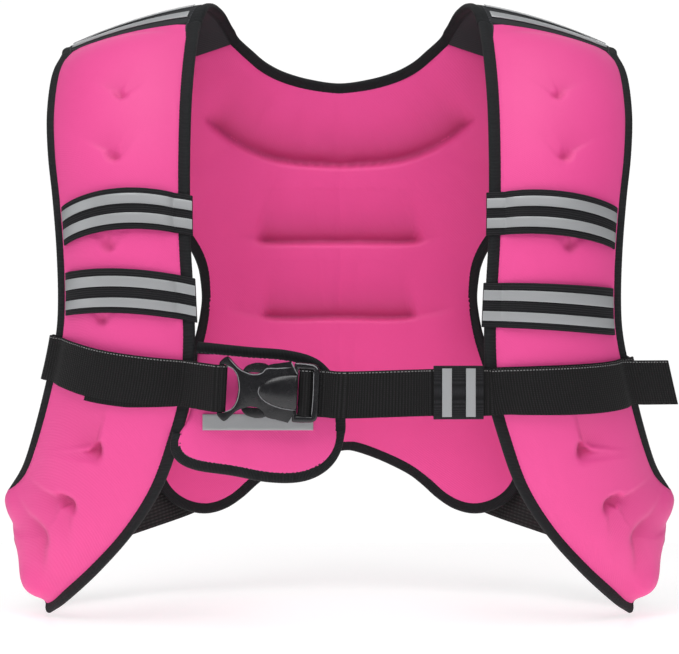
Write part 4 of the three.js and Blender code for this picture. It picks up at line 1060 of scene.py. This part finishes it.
# %% Shoulder yokes and their stripes
def shoulder(side, hand):
    def place(a, b):
        return yoke_frame(side, b, mix(YOKE_END, 1 - YOKE_END, a))[0]

    node = f"shoulder_yoke_{hand}"
    piece = strip(f"cloth_{node}", 60, 40, place, (90, 100), YOKE_WALL, (0, 0, 1))
    finish_piece(piece, YOKE, "lining", node)
    for k, middle in enumerate((0.13, 0.32)):
        def on_yoke(a, b, middle=middle):
            s = 0.02 + 0.96 * a
            t = middle + (b - 0.5) * STRIPE_WIDTH / yoke_frame(side, s, middle)[4]
            p, n = yoke_frame(side, s, t)[:2]
            return p + n * (YOKE_WALL / 2 + GAP + STRIPE_WALL / 2)

        node = f"shoulder_stripe_{hand}_{k + 1}"
        piece = strip(f"tape_{node}", 60, 4, on_yoke, (100, STRIPE_WIDTH), STRIPE_WALL, (0, -0.3, 1))
        finish_piece(piece, REFLECTIVE, "reflective", node)


for side, hand in HANDS:
    shoulder(side, hand)


# %% Loops on the front panels
def band_height(side, s, t):
    a, b = pad_limits(side, t)
    pad = np.where((s > a) & (s < b), front_out(side, s, t), 0)
    return np.maximum(pad, TAPE_WALL / 2)


# Columns: name, places along at the inner edge, the middle and the outer edge, and width in mm.
LOOPS = {
    "left": [("upper", 0.3195, 0.3115, 0.332, 27), ("lower", 0.4365, 0.4215, 0.4255, 30)],
    "right": [("upper", 0.3175, 0.318, 0.333, 29), ("lower", 0.4435, 0.4465, 0.4545, 30)],
}


def band_place(side, loop, s, offset, lift):
    _, a, b, c, _ = loop
    middle = a * (1 - s) * (1 - 2 * s) + b * 4 * s * (1 - s) + c * s * (2 * s - 1)
    t = middle + offset / front_frame(side, s, middle)[4]
    p, n = front_frame(side, s, t)[:2]
    return p + n * (band_height(side, s, t) + lift)[:, None]


LOOP_START = -0.025


def loops(side, hand):
    for loop in LOOPS[hand]:
        far = pad_limits(side, loop[3])[1][0] - 0.004

        def band(a, b):
            lift = LIFT + ELASTIC_WALL / 2
            return band_place(side, loop, mix(LOOP_START, far, a), (b - 0.5) * loop[4], lift)

        node = f"{loop[0]}_loop_{hand}"
        piece = strip(f"band_{node}", 90, 16, band, (130, loop[4]), ELASTIC_WALL, (0, -1, 0))
        finish_piece(piece, ELASTIC, "elastic", node)
        for k, way in enumerate((-1, 1)):
            def stripe(a, b, way=way):
                offset = way * STRIPE_OFFSET * loop[4] / LOOP_WIDTH + (b - 0.5) * STRIPE_WIDTH
                lift = LIFT + ELASTIC_WALL + GAP + STRIPE_WALL / 2
                return band_place(side, loop, mix(LOOP_START, far, a), offset, lift)

            node = f"{loop[0]}_stripe_{hand}_{k + 1}"
            piece = strip(f"tape_{node}", 90, 4, stripe, (130, STRIPE_WIDTH), STRIPE_WALL, (0, -1, 0))
            finish_piece(piece, REFLECTIVE, "reflective", node)


for side, hand in HANDS:
    loops(side, hand)


# %% Gussets under the arms
def across_line(lines, b):
    """A place across a line of three points."""
    b = b[:, None]
    a0, a1, a2 = (1 - b) * (1 - 2 * b), 4 * b * (1 - b), b * (2 * b - 1)
    return lines[:, :3] * a0 + lines[:, 3:6] * a1 + lines[:, 6:9] * a2


GUSSET_FRONT = (0.92, 0.38)
GUSSET_BACK = ((0.7, -0.715), (0.655, -0.865))
GUSSET_SEWN = ((0.6, -0.7), (0.56, -0.845))


def gusset(side, hand):
    lift = PAD_EDGE / 2 + BACK_PUFF_OUT + LIFT + GUSSET_WALL / 2

    def outside(x, z):
        p, n = back_frame(side * x * BACK_HALF, z * DROP)
        return (p + n * lift)[0]

    start = []
    for s in (GUSSET_FRONT[0], sum(GUSSET_FRONT) / 2, GUSSET_FRONT[1]):
        p, _, _, along, _ = front_frame(side, s, 1)
        start.append((p + along * (GAP + 0.3))[0])
    ends = []
    for pair in (GUSSET_BACK, GUSSET_SEWN):
        a, b = outside(*pair[0]), outside(*pair[1])
        ends.append([a, (a + b) / 2, b])
    leave = front_frame(side, 0.6, 1)[3][0]
    near = [p + unit(unit(q - p) + leave) * 12 for p, q in zip(start, ends[0])]
    rows = [np.concatenate(line) for line in (start, near, *ends)]

    def place(a, b):
        return across_line(table_at(rows, a), b)

    node = f"side_gusset_{hand}"
    piece = strip(f"cloth_{node}", 60, 30, place, (120, 62), GUSSET_WALL, (side, 0.3, 0))
    finish_piece(piece, GUSSET, "gusset", node)


for side, hand in HANDS:
    gusset(side, hand)

# %% [markdown]
# ## Belt
#
# The belt is one width of webbing. On the left it is folded back round the buckle's bar and sewn. On
# the right it runs through the plug's frame and its free end lies on top, held by an elastic keeper.
# The route is a list of cross lines, each with a top, a middle and a bottom point.

# %% Cross lines of the belt
TURN = math.radians(BUCKLE_TILT)
TURN_RADIUS = BAR_WALL / 2 + LIFT + BELT_WALL / 2
LAYER = LIFT + BELT_WALL
LEFT_BELT = [[0.556], [0.5537], [0.55], [0.545], [0.538], [0.533]]
RIGHT_BELT = 0.567
SOCKET_BAR = 0.6 + BAR_WIDTH / 2
PLUG_BAR = SOCKET_LENGTH + 0.4 + 2.4 + 3.5 + BAR_WIDTH / 2
OUTER_BAR = 3.7
BELT_BACK = [[1.02, -0.45, -0.585], [0.94, 0, -0.585], [0.85, 0.35, -0.583], [0.76, 0.68, -0.582]]
BELT_SEWN = [0.68, 0.6, 0.5, 0.4]
BELT_HEIGHT = -0.582
KEEPER_X = front_base(1, 0, RIGHT_BELT)[0][0] - 2.4 - KEEPER_WIDTH / 2


def on_buckle(x, y, z):
    """A place on the buckle: along it from its left end, back from its middle and up."""
    x -= BUCKLE_LENGTH / 2
    return np.array([BUCKLE_X + x * math.cos(TURN) + z * math.sin(TURN), BUCKLE_Y + y,
                     BUCKLE_Z - x * math.sin(TURN) + z * math.cos(TURN)])


def buckle_line(x, y):
    return [on_buckle(x, y, edge * BELT_WIDTH / 2) for edge in (1, 0, -1)]


def bar_turn(x, way):
    lines = []
    for i in range(5):
        angle = math.pi * i / 4
        out = math.sin(angle) * (TURN_RADIUS + (BAR_WIDTH - BAR_WALL) / 2)
        lines.append(buckle_line(x + way * out, math.cos(angle) * TURN_RADIUS))
    return lines


def panel_points(side, s, middle, lift, offset=0.0):
    edge = np.array([-1, 0, 1])
    t = middle + (offset + edge * BELT_WIDTH / 2) / front_frame(side, s, middle)[4]
    p, n = front_frame(side, s, t)[:2]
    return list(p + n * (band_height(side, s, t) + lift)[:, None])


def edge_turn(side, middle, lift):
    radius = TAPE_WALL / 2 + lift
    lines = []
    for quarter in (0.35, 1, 1.65):
        angle = math.pi / 2 * quarter
        t = middle + np.array([-1, 0, 1]) * BELT_WIDTH / 2 / front_frame(side, 1, middle)[4]
        p, n, across, _, _ = front_frame(side, 1, t)
        lines.append(list(p + n * math.cos(angle) * radius + across * math.sin(angle) * radius))
    return lines


def upright_line(x, y, z):
    return [np.array([x, y, z + edge * BELT_WIDTH / 2]) for edge in (1, 0, -1)]


def side_run(side):
    lines = [upright_line(side * x * BACK_HALF, y * BACK_DEPTH, h * DROP) for x, y, h in BELT_BACK]
    height = PAD_EDGE / 2 + BACK_PUFF_OUT + LIFT + BELT_WALL / 2
    for share in BELT_SEWN:
        heights = BELT_HEIGHT * DROP + np.array([1, 0, -1]) * BELT_WIDTH / 2
        p, n = back_frame(side * share * BACK_HALF, heights)
        lines.append(list(p + n * height))
    return lines


# %% Webbing through its cross lines
def strap(name, lines, node, steps):
    rows = [np.concatenate(line) for line in lines]
    middle = np.array([r[3:6] for r in rows])
    lengths = np.concatenate([[0], np.cumsum(np.linalg.norm(np.diff(middle, axis=0), axis=1))])

    def place(a, b):
        share = np.interp(a * lengths[-1], lengths, np.arange(len(rows))) / (len(rows) - 1)
        return across_line(table_at(rows, share), b)

    bm = bmesh.new()
    bend_grid(bm, steps, 10, place, (lengths[-1], BELT_WIDTH))
    piece = mesh_piece(name, bm)
    give_wall(piece, BELT_WALL)
    round_edges(piece, BELT_WALL * 0.35)
    finish_piece(piece, WEBBING, "webbing", node)
    print(name, round(lengths[-1]), "mm of webbing")


def left_belt():
    def middle(s):
        return table_at(LEFT_BELT, s)[0][0]

    first = LIFT + BELT_WALL / 2
    places = [0.03, 0.1, 0.18, 0.26, 0.34, 0.42, 0.5, 0.57, 0.64]
    under = [panel_points(-1, s, middle(s), first, 3.5 * min(1, 3 * s)) for s in places]
    over = [panel_points(-1, s, middle(s), first + LAYER) for s in places]
    end = [panel_points(-1, s, middle(s), first + LAYER * (0.85 - 0.28 * k))
           for k, s in enumerate((0.72, 0.8, 0.87, 0.94))]
    beside = [buckle_line(-BAR_WALL, way * (TURN_RADIUS - 0.2)) for way in (1, -1)]
    turn = [beside[0], *bar_turn(SOCKET_BAR, 1), beside[1]]
    lines = [*under[::-1], *turn, *over, *end, *edge_turn(-1, middle(1), first), *side_run(-1)]
    strap("webbing_belt_left", lines, "belt_left", 640)


def right_depth(x):
    start = on_buckle(BUCKLE_LENGTH + 4, 0, 0)[0]
    edge = panel_points(1, 0.03, RIGHT_BELT, LIFT + BELT_WALL / 2)[1]
    return mix(BUCKLE_Y + TURN_RADIUS, edge[1], (x - start) / (edge[0] - start))


def right_belt():
    first = LIFT + BELT_WALL / 2
    places = [0.94, 0.87, 0.79, 0.7, 0.61, 0.52, 0.43, 0.34, 0.25, 0.17, 0.1, 0.03]
    under = [panel_points(1, s, RIGHT_BELT, first) for s in places]
    over = [panel_points(1, s, RIGHT_BELT, first + LAYER, 1) for s in places[::-1]]
    z = under[-1][1][2]
    edges = [KEEPER_X + share * KEEPER_WIDTH for share in (-0.6, 0, 0.6)]
    fixed = [upright_line(x, right_depth(x), z) for x in edges[::-1]]
    free = [upright_line(x, right_depth(x) - LAYER, z) for x in edges]
    behind = [buckle_line(BUCKLE_LENGTH + x, TURN_RADIUS) for x in (20, 4)]
    dive = buckle_line(PLUG_BAR + BAR_WIDTH / 2 + BELT_WALL / 2, 0.2 - TURN_RADIUS)
    front = [buckle_line(BUCKLE_LENGTH + x, TURN_RADIUS - LAYER) for x in (-OUTER_BAR, 4, 20)]
    across = front_frame(1, 1, RIGHT_BELT)[2][0]
    leave = unit(np.array([across[0], across[1] * 0.8, 0]))
    tip = [[p + leave * FREE_TAIL * share for p in over[-1]] for share in (0.3, 0.65, 1)]
    turn = edge_turn(1, RIGHT_BELT, first)[::-1]
    lines = [*side_run(1)[::-1], *turn, *under, *fixed, *behind, *bar_turn(PLUG_BAR, -1), dive,
             *front, *free, *over, *tip]
    strap("webbing_belt_right", lines, "belt_right", 760)
    return z


left_belt()
belt_height = right_belt()


# %% Keeper and its stripes
def keeper(z):
    clear = LIFT + ELASTIC_WALL / 2
    half, deep = BELT_WIDTH / 2 + clear, (LAYER + BELT_WALL) / 2 + clear

    def place(a, b):
        x = KEEPER_X + (a - 0.5) * KEEPER_WIDTH
        y, h = np.cos(2 * math.pi * b), np.sin(2 * math.pi * b)
        y, h = np.sign(y) * np.abs(y) ** 0.16 * deep, np.sign(h) * np.abs(h) ** 0.5 * half
        return points(x, right_depth(x) - LAYER / 2 + y, z + h)

    bm = bmesh.new()
    bend_grid(bm, 30, 96, place, (KEEPER_WIDTH, 2 * BELT_WIDTH))
    bmesh.ops.remove_doubles(bm, verts=bm.verts, dist=WELD)
    bmesh.ops.recalc_face_normals(bm, faces=bm.faces)
    piece = mesh_piece("band_belt_keeper", bm)
    give_wall(piece, ELASTIC_WALL)
    finish_piece(piece, ELASTIC, "elastic", "belt_keeper")
    for k, share in enumerate((-0.24, 0.24)):
        middle = KEEPER_X + share * KEEPER_WIDTH

        def stripe(a, b):
            x = middle + (b - 0.5) * STRIPE_WIDTH
            y = right_depth(x) - LAYER / 2 - deep - ELASTIC_WALL / 2 - GAP - STRIPE_WALL / 2
            return points(x, y, z + (0.5 - a) * 2 * (half - 1))

        node = f"keeper_stripe_{k + 1}"
        piece = strip(f"tape_{node}", 30, 4, stripe, (2 * half, STRIPE_WIDTH), STRIPE_WALL, (0, -1, 0))
        finish_piece(piece, REFLECTIVE, "reflective", node)


keeper(belt_height)


# %% Reflective bar on the guard
def guard_bar():
    x0, z0, length, height = BUCKLE_X - 7.5, BUCKLE_Z - BUCKLE_HEIGHT / 2, 76, 11
    y = GUARD_DEPTH * FRONT_DEPTH - GUARD_WALL / 2 - GAP - STRIPE_WALL / 2

    def place(a, b):
        return points(x0 + (a - 0.5) * length, y, z0 + (b - 0.5) * height)

    piece = strip("tape_guard_reflector", 40, 6, place, (length, height), STRIPE_WALL, (0, -1, 0))
    finish_piece(piece, REFLECTIVE, "reflective", "guard_reflector")


guard_bar()

# %% [markdown]
# ## Buckle
#
# A side-release buckle of glossy moulded plastic. Each part of it is a flat outline that is filled
# round its holes, extruded and bevelled. The socket's dome is half an egg, and its side arms show in
# the two waists. Cutting the shapes out of one block with booleans would leave worse edges.

# %% Plates from outlines
def arc_between(rows, steps):
    """A smooth open line through rows of along and up."""
    return table_at(rows, np.linspace(0, 1, steps))


def mirrored(line):
    """A line for the upper half closed with its mirror image."""
    return np.vstack([line, line[::-1] * np.array([1, -1])])


def buckle_plate(name, node, outline, holes, back, front, rounding):
    """Outline and holes are loops along and up, back and front the depths, all in millimetres."""
    bm = bmesh.new()
    edges = []
    for loop in (outline, *holes):
        loop = [q for k, q in enumerate(loop) if np.linalg.norm(q - loop[k - 1]) > 1e-3]
        verts = [bm.verts.new(Vector((q[0], back, q[1])) * MM) for q in loop]
        edges += [bm.edges.new((verts[k - 1], verts[k])) for k in range(len(verts))]
    made = bmesh.ops.triangle_fill(bm, edges=edges, use_beauty=True)
    faces = [g for g in made["geom"] if isinstance(g, bmesh.types.BMFace)]
    moved = bmesh.ops.extrude_face_region(bm, geom=faces)
    verts = [g for g in moved["geom"] if isinstance(g, bmesh.types.BMVert)]
    bmesh.ops.translate(bm, verts=verts, vec=Vector((0, front - back, 0)) * MM)
    bmesh.ops.recalc_face_normals(bm, faces=bm.faces)
    for v in bm.verts:
        v.co = Vector(on_buckle(v.co.x / MM, v.co.y / MM, v.co.z / MM)) * MM
    piece = mesh_piece(name, bm)
    round_edges(piece, rounding, 3, 42)
    return finish_piece(piece, PLASTIC, "buckle", node)


# %% Raised rims, painted a lighter grey as highlights
def bead(name, node, rows, depth, radius):
    """A thin raised rim along a line of rows along and up, in a lighter grey that is a painted
    highlight.
    """
    def place(a, b):
        line, ahead = table_at(rows, a), table_at(rows, a + 0.01)
        way = unit(ahead - line)
        beside = np.cos(2 * math.pi * b) * radius * np.minimum(1, 16 * a * (1 - a) + 0.1)
        y = depth - np.sin(2 * math.pi * b) * radius
        return on_buckle(line[:, 0] - way[:, 1] * beside, y, line[:, 1] + way[:, 0] * beside).T

    bm = bmesh.new()
    bend_grid(bm, 70, 10, place, (30, 1))
    bmesh.ops.remove_doubles(bm, verts=bm.verts, dist=WELD)
    bmesh.ops.recalc_face_normals(bm, faces=bm.faces)
    return finish_piece(mesh_piece(name, bm), PAINTED_HIGHLIGHT, "buckle", node)


# %% Socket
# Rows are places along and up from the buckle's left end and middle, in mm, for the upper half.
SOCKET_WING = [[0.6, 16.6], [1.6, 18.8], [5.2, 21.8], [7.6, 20.9], [10.5, 17.9], [15, 14],
               [21.2, 11.6], [25.4, 11.2], [29.6, 12.4], [32.5, 15], [34.6, 17.8], [42, 19.3],
               [49.2, 20.8]]
SOCKET_END = [[51, 17.6], [54.2, 12], [54.2, 6], [54.2, 0]]
SOCKET_SLOT = [[4.2, 16.6], [6.6, 15.8], [10.2, 13.2], [13.2, 8.4], [14.6, 0]]
UPPER_RIM = [[6.9, 21], [10.3, 17.4], [15, 13.4], [21.2, 11], [25.4, 10.6], [29.9, 11.9], [33, 15],
             [40, 15.6], [49.6, 16.6]]
END_RIM = [[49.4, 20.2], [51.4, 16.6], [53.9, 12.2]]
SLOT_RIM = [[5.4, 16], [10.6, 13.4], [13.8, 8.4], [15.2, 0], [13.8, -8.4], [10.6, -13.4], [5.4, -16]]
DOME_START, DOME_END, DOME_HALF, DOME_HEIGHT = 28.2, 54.2, 11.8, 3.6
ARM = [[17, 13.4], [18.5, 15.6], [21, 17.3], [26, 18.7], [31, 18.5], [34, 17.4]]
ARM_INNER = [[35, 12], [17, 12]]
SOCKET_FRONT = PLUG_FRONT = -4.2
BAR_REACH = BELT_WIDTH / 2 + 1.6


def rect(x0, x1, half):
    return np.array([[x0, half], [x1, half], [x1, -half], [x0, -half]])


def dome():
    """Half an egg on the front of the socket, flat towards the plug."""
    bm = bmesh.new()
    bmesh.ops.create_uvsphere(bm, u_segments=64, v_segments=32, radius=1)
    for v in bm.verts:
        x, y, z = v.co
        x = DOME_END + (DOME_END - DOME_START) * min(x, 0)
        v.co = Vector(on_buckle(x, SOCKET_FRONT + 0.3 + DOME_HEIGHT * y, DOME_HALF * z)) * MM
    bmesh.ops.recalc_face_normals(bm, faces=bm.faces)
    return finish_piece(mesh_piece("plastic_socket_dome", bm), PLASTIC, "buckle", "buckle_socket")


outline = mirrored(np.vstack([arc_between(SOCKET_WING, 60), np.array(SOCKET_END)]))
slot = mirrored(arc_between(SOCKET_SLOT, 24))[::-1]
buckle_plate("plastic_buckle_socket", "buckle_socket", np.vstack([outline, slot]), [], 5.2,
             SOCKET_FRONT, 1.1)
buckle_plate("plastic_socket_bar", "buckle_socket", rect(0.6, 4, BAR_REACH), [], 1.5, -1.5, 0.5)
dome()
dome_rim = []
for turn in np.linspace(-0.42, 0.5, 9)[3:] * math.pi:
    along = DOME_END - (DOME_END - DOME_START + 0.3) * math.cos(turn)
    dome_rim.append([along, -(DOME_HALF + 0.3) * math.sin(turn)])
lines = {"upper": UPPER_RIM, "end": END_RIM, "slot": SLOT_RIM, "dome": dome_rim}
# Lighter grey rims along the socket's edges: painted highlights.
for name, rows in lines.items():
    bead(f"painted_highlight_rim_{name}", "buckle_socket", rows, SOCKET_FRONT + 0.05, 0.34)
for way in (1, -1):
    loop = np.vstack([arc_between(ARM, 24), np.array(ARM_INNER)]) * np.array([1, way])
    name = "plastic_arm_upper" if way > 0 else "plastic_arm_lower"
    buckle_plate(name, "buckle_plug", loop, [], 2.8, -2.4, 0.8)

# %% Plug
FRAME = [[51.6, 20.3], [60, 20.2], [65.6, 19.6], [68.2, 17.6], [69, 13], [69, 0]]
WINDOW = [[54.6, 16.2], [64.6, 16], [64.9, 14], [64.9, 0]]
FRAME_RIM = [[51.8, 19.6], [60, 19.4], [65, 18.6], [67.6, 16.4]]
WINDOW_RIM = [[64.9, 14.5], [65.2, 5], [65.2, -5], [64.9, -15.4]]
buckle_plate("plastic_buckle_plug", "buckle_plug", mirrored(arc_between(FRAME, 30)),
             [mirrored(np.array(WINDOW))], 4.6, PLUG_FRONT, 1.3)
bar = rect(PLUG_BAR - BAR_WIDTH / 2, PLUG_BAR + BAR_WIDTH / 2, BAR_REACH)
buckle_plate("plastic_plug_bar", "buckle_plug", bar, [], 1.5, -1.5, 0.6)
# Lighter grey rims along the plug's frame and window: painted highlights.
bead("painted_highlight_rim_frame", "buckle_plug", FRAME_RIM, -4.1, 0.4)
bead("painted_highlight_rim_window", "buckle_plug", WINDOW_RIM, -4.1, 0.3)

# %% [markdown]
# ## Floor and light
#
# A white studio: a floor just under the tips, an even white surround, and large soft lamps. The floor
# glows a little, so that it stays white where the lamps fall off. The surround is brighter to the
# camera than to the vest, because a surround that lit the vest as brightly would wash out its folds.

# %% Floor
FLOOR_HEIGHT = -0.4465
bm = bmesh.new()
bmesh.ops.create_grid(bm, x_segments=1, y_segments=1, size=1)
for v in bm.verts:
    v.co = (v.co.x * 1.1, v.co.y * 0.75 - 0.3, FLOOR_HEIGHT)
floor = mesh_piece("studio_floor", bm)
paper, shader = node_material("studio_paper")
shader.inputs["Base Color"].default_value = (0.92, 0.92, 0.92, 1)
shader.inputs["Emission Color"].default_value = (1, 1, 1, 1)
shader.inputs["Emission Strength"].default_value = 0.62
shader.inputs["Roughness"].default_value = 0.12
shader.inputs["Specular IOR Level"].default_value = 0.35
floor.data.materials.append(paper)
print("floor at", FLOOR_HEIGHT, "m")

# %% Light
world = bpy.data.worlds.new("white_surround")
world.use_nodes = True
tree = world.node_tree
sky = tree.nodes["Background"]
sky.inputs[0].default_value = (1, 1, 1, 1)
sky.inputs[1].default_value = 0.12
white = tree.nodes.new("ShaderNodeBackground")
white.inputs[1].default_value = 1.02
seen = tree.nodes.new("ShaderNodeLightPath")
either = tree.nodes.new("ShaderNodeMixShader")
white.inputs[0].default_value = (1, 1, 1, 1)
tree.links.new(seen.outputs["Is Camera Ray"], either.inputs[0])
tree.links.new(sky.outputs[0], either.inputs[1])
tree.links.new(white.outputs[0], either.inputs[2])
tree.links.new(either.outputs[0], tree.nodes["World Output"].inputs[0])
scene.world = world


def lamp(name, place, target, size, power):
    data = bpy.data.lights.new(name, "AREA")
    data.shape = "RECTANGLE"
    data.size, data.size_y = size
    data.energy = power
    o = bpy.data.objects.new(name, data)
    o.location = place
    o.rotation_mode = "QUATERNION"
    o.rotation_quaternion = (Vector(target) - Vector(place)).to_track_quat("-Z", "Y")
    scene.collection.objects.link(o)
    return o


lamp("top_light", (0, -0.55, 1.5), (0, 0, -0.2), (1.4, 1.0), 18)
lamp("key_light", (-0.7, -1.4, 1.3), (0, 0, -0.2), (0.8, 0.8), 10)
lamp("fill_light", (0.7, -1.5, 1.0), (0, 0, -0.25), (0.8, 0.8), 6)
lamp("front_light", (0.1, -2.2, -0.1), (0, 0, -0.2), (0.5, 0.5), 7).visible_glossy = False
lamp("side_light", (-1.6, -0.5, 0.1), (0, 0, -0.3), (0.8, 0.8), 3)
lamp("back_light", (0, 1.6, 0.8), (0, 0, -0.1), (1.6, 0.8), 7)
print("lamps:", len(bpy.data.lights))
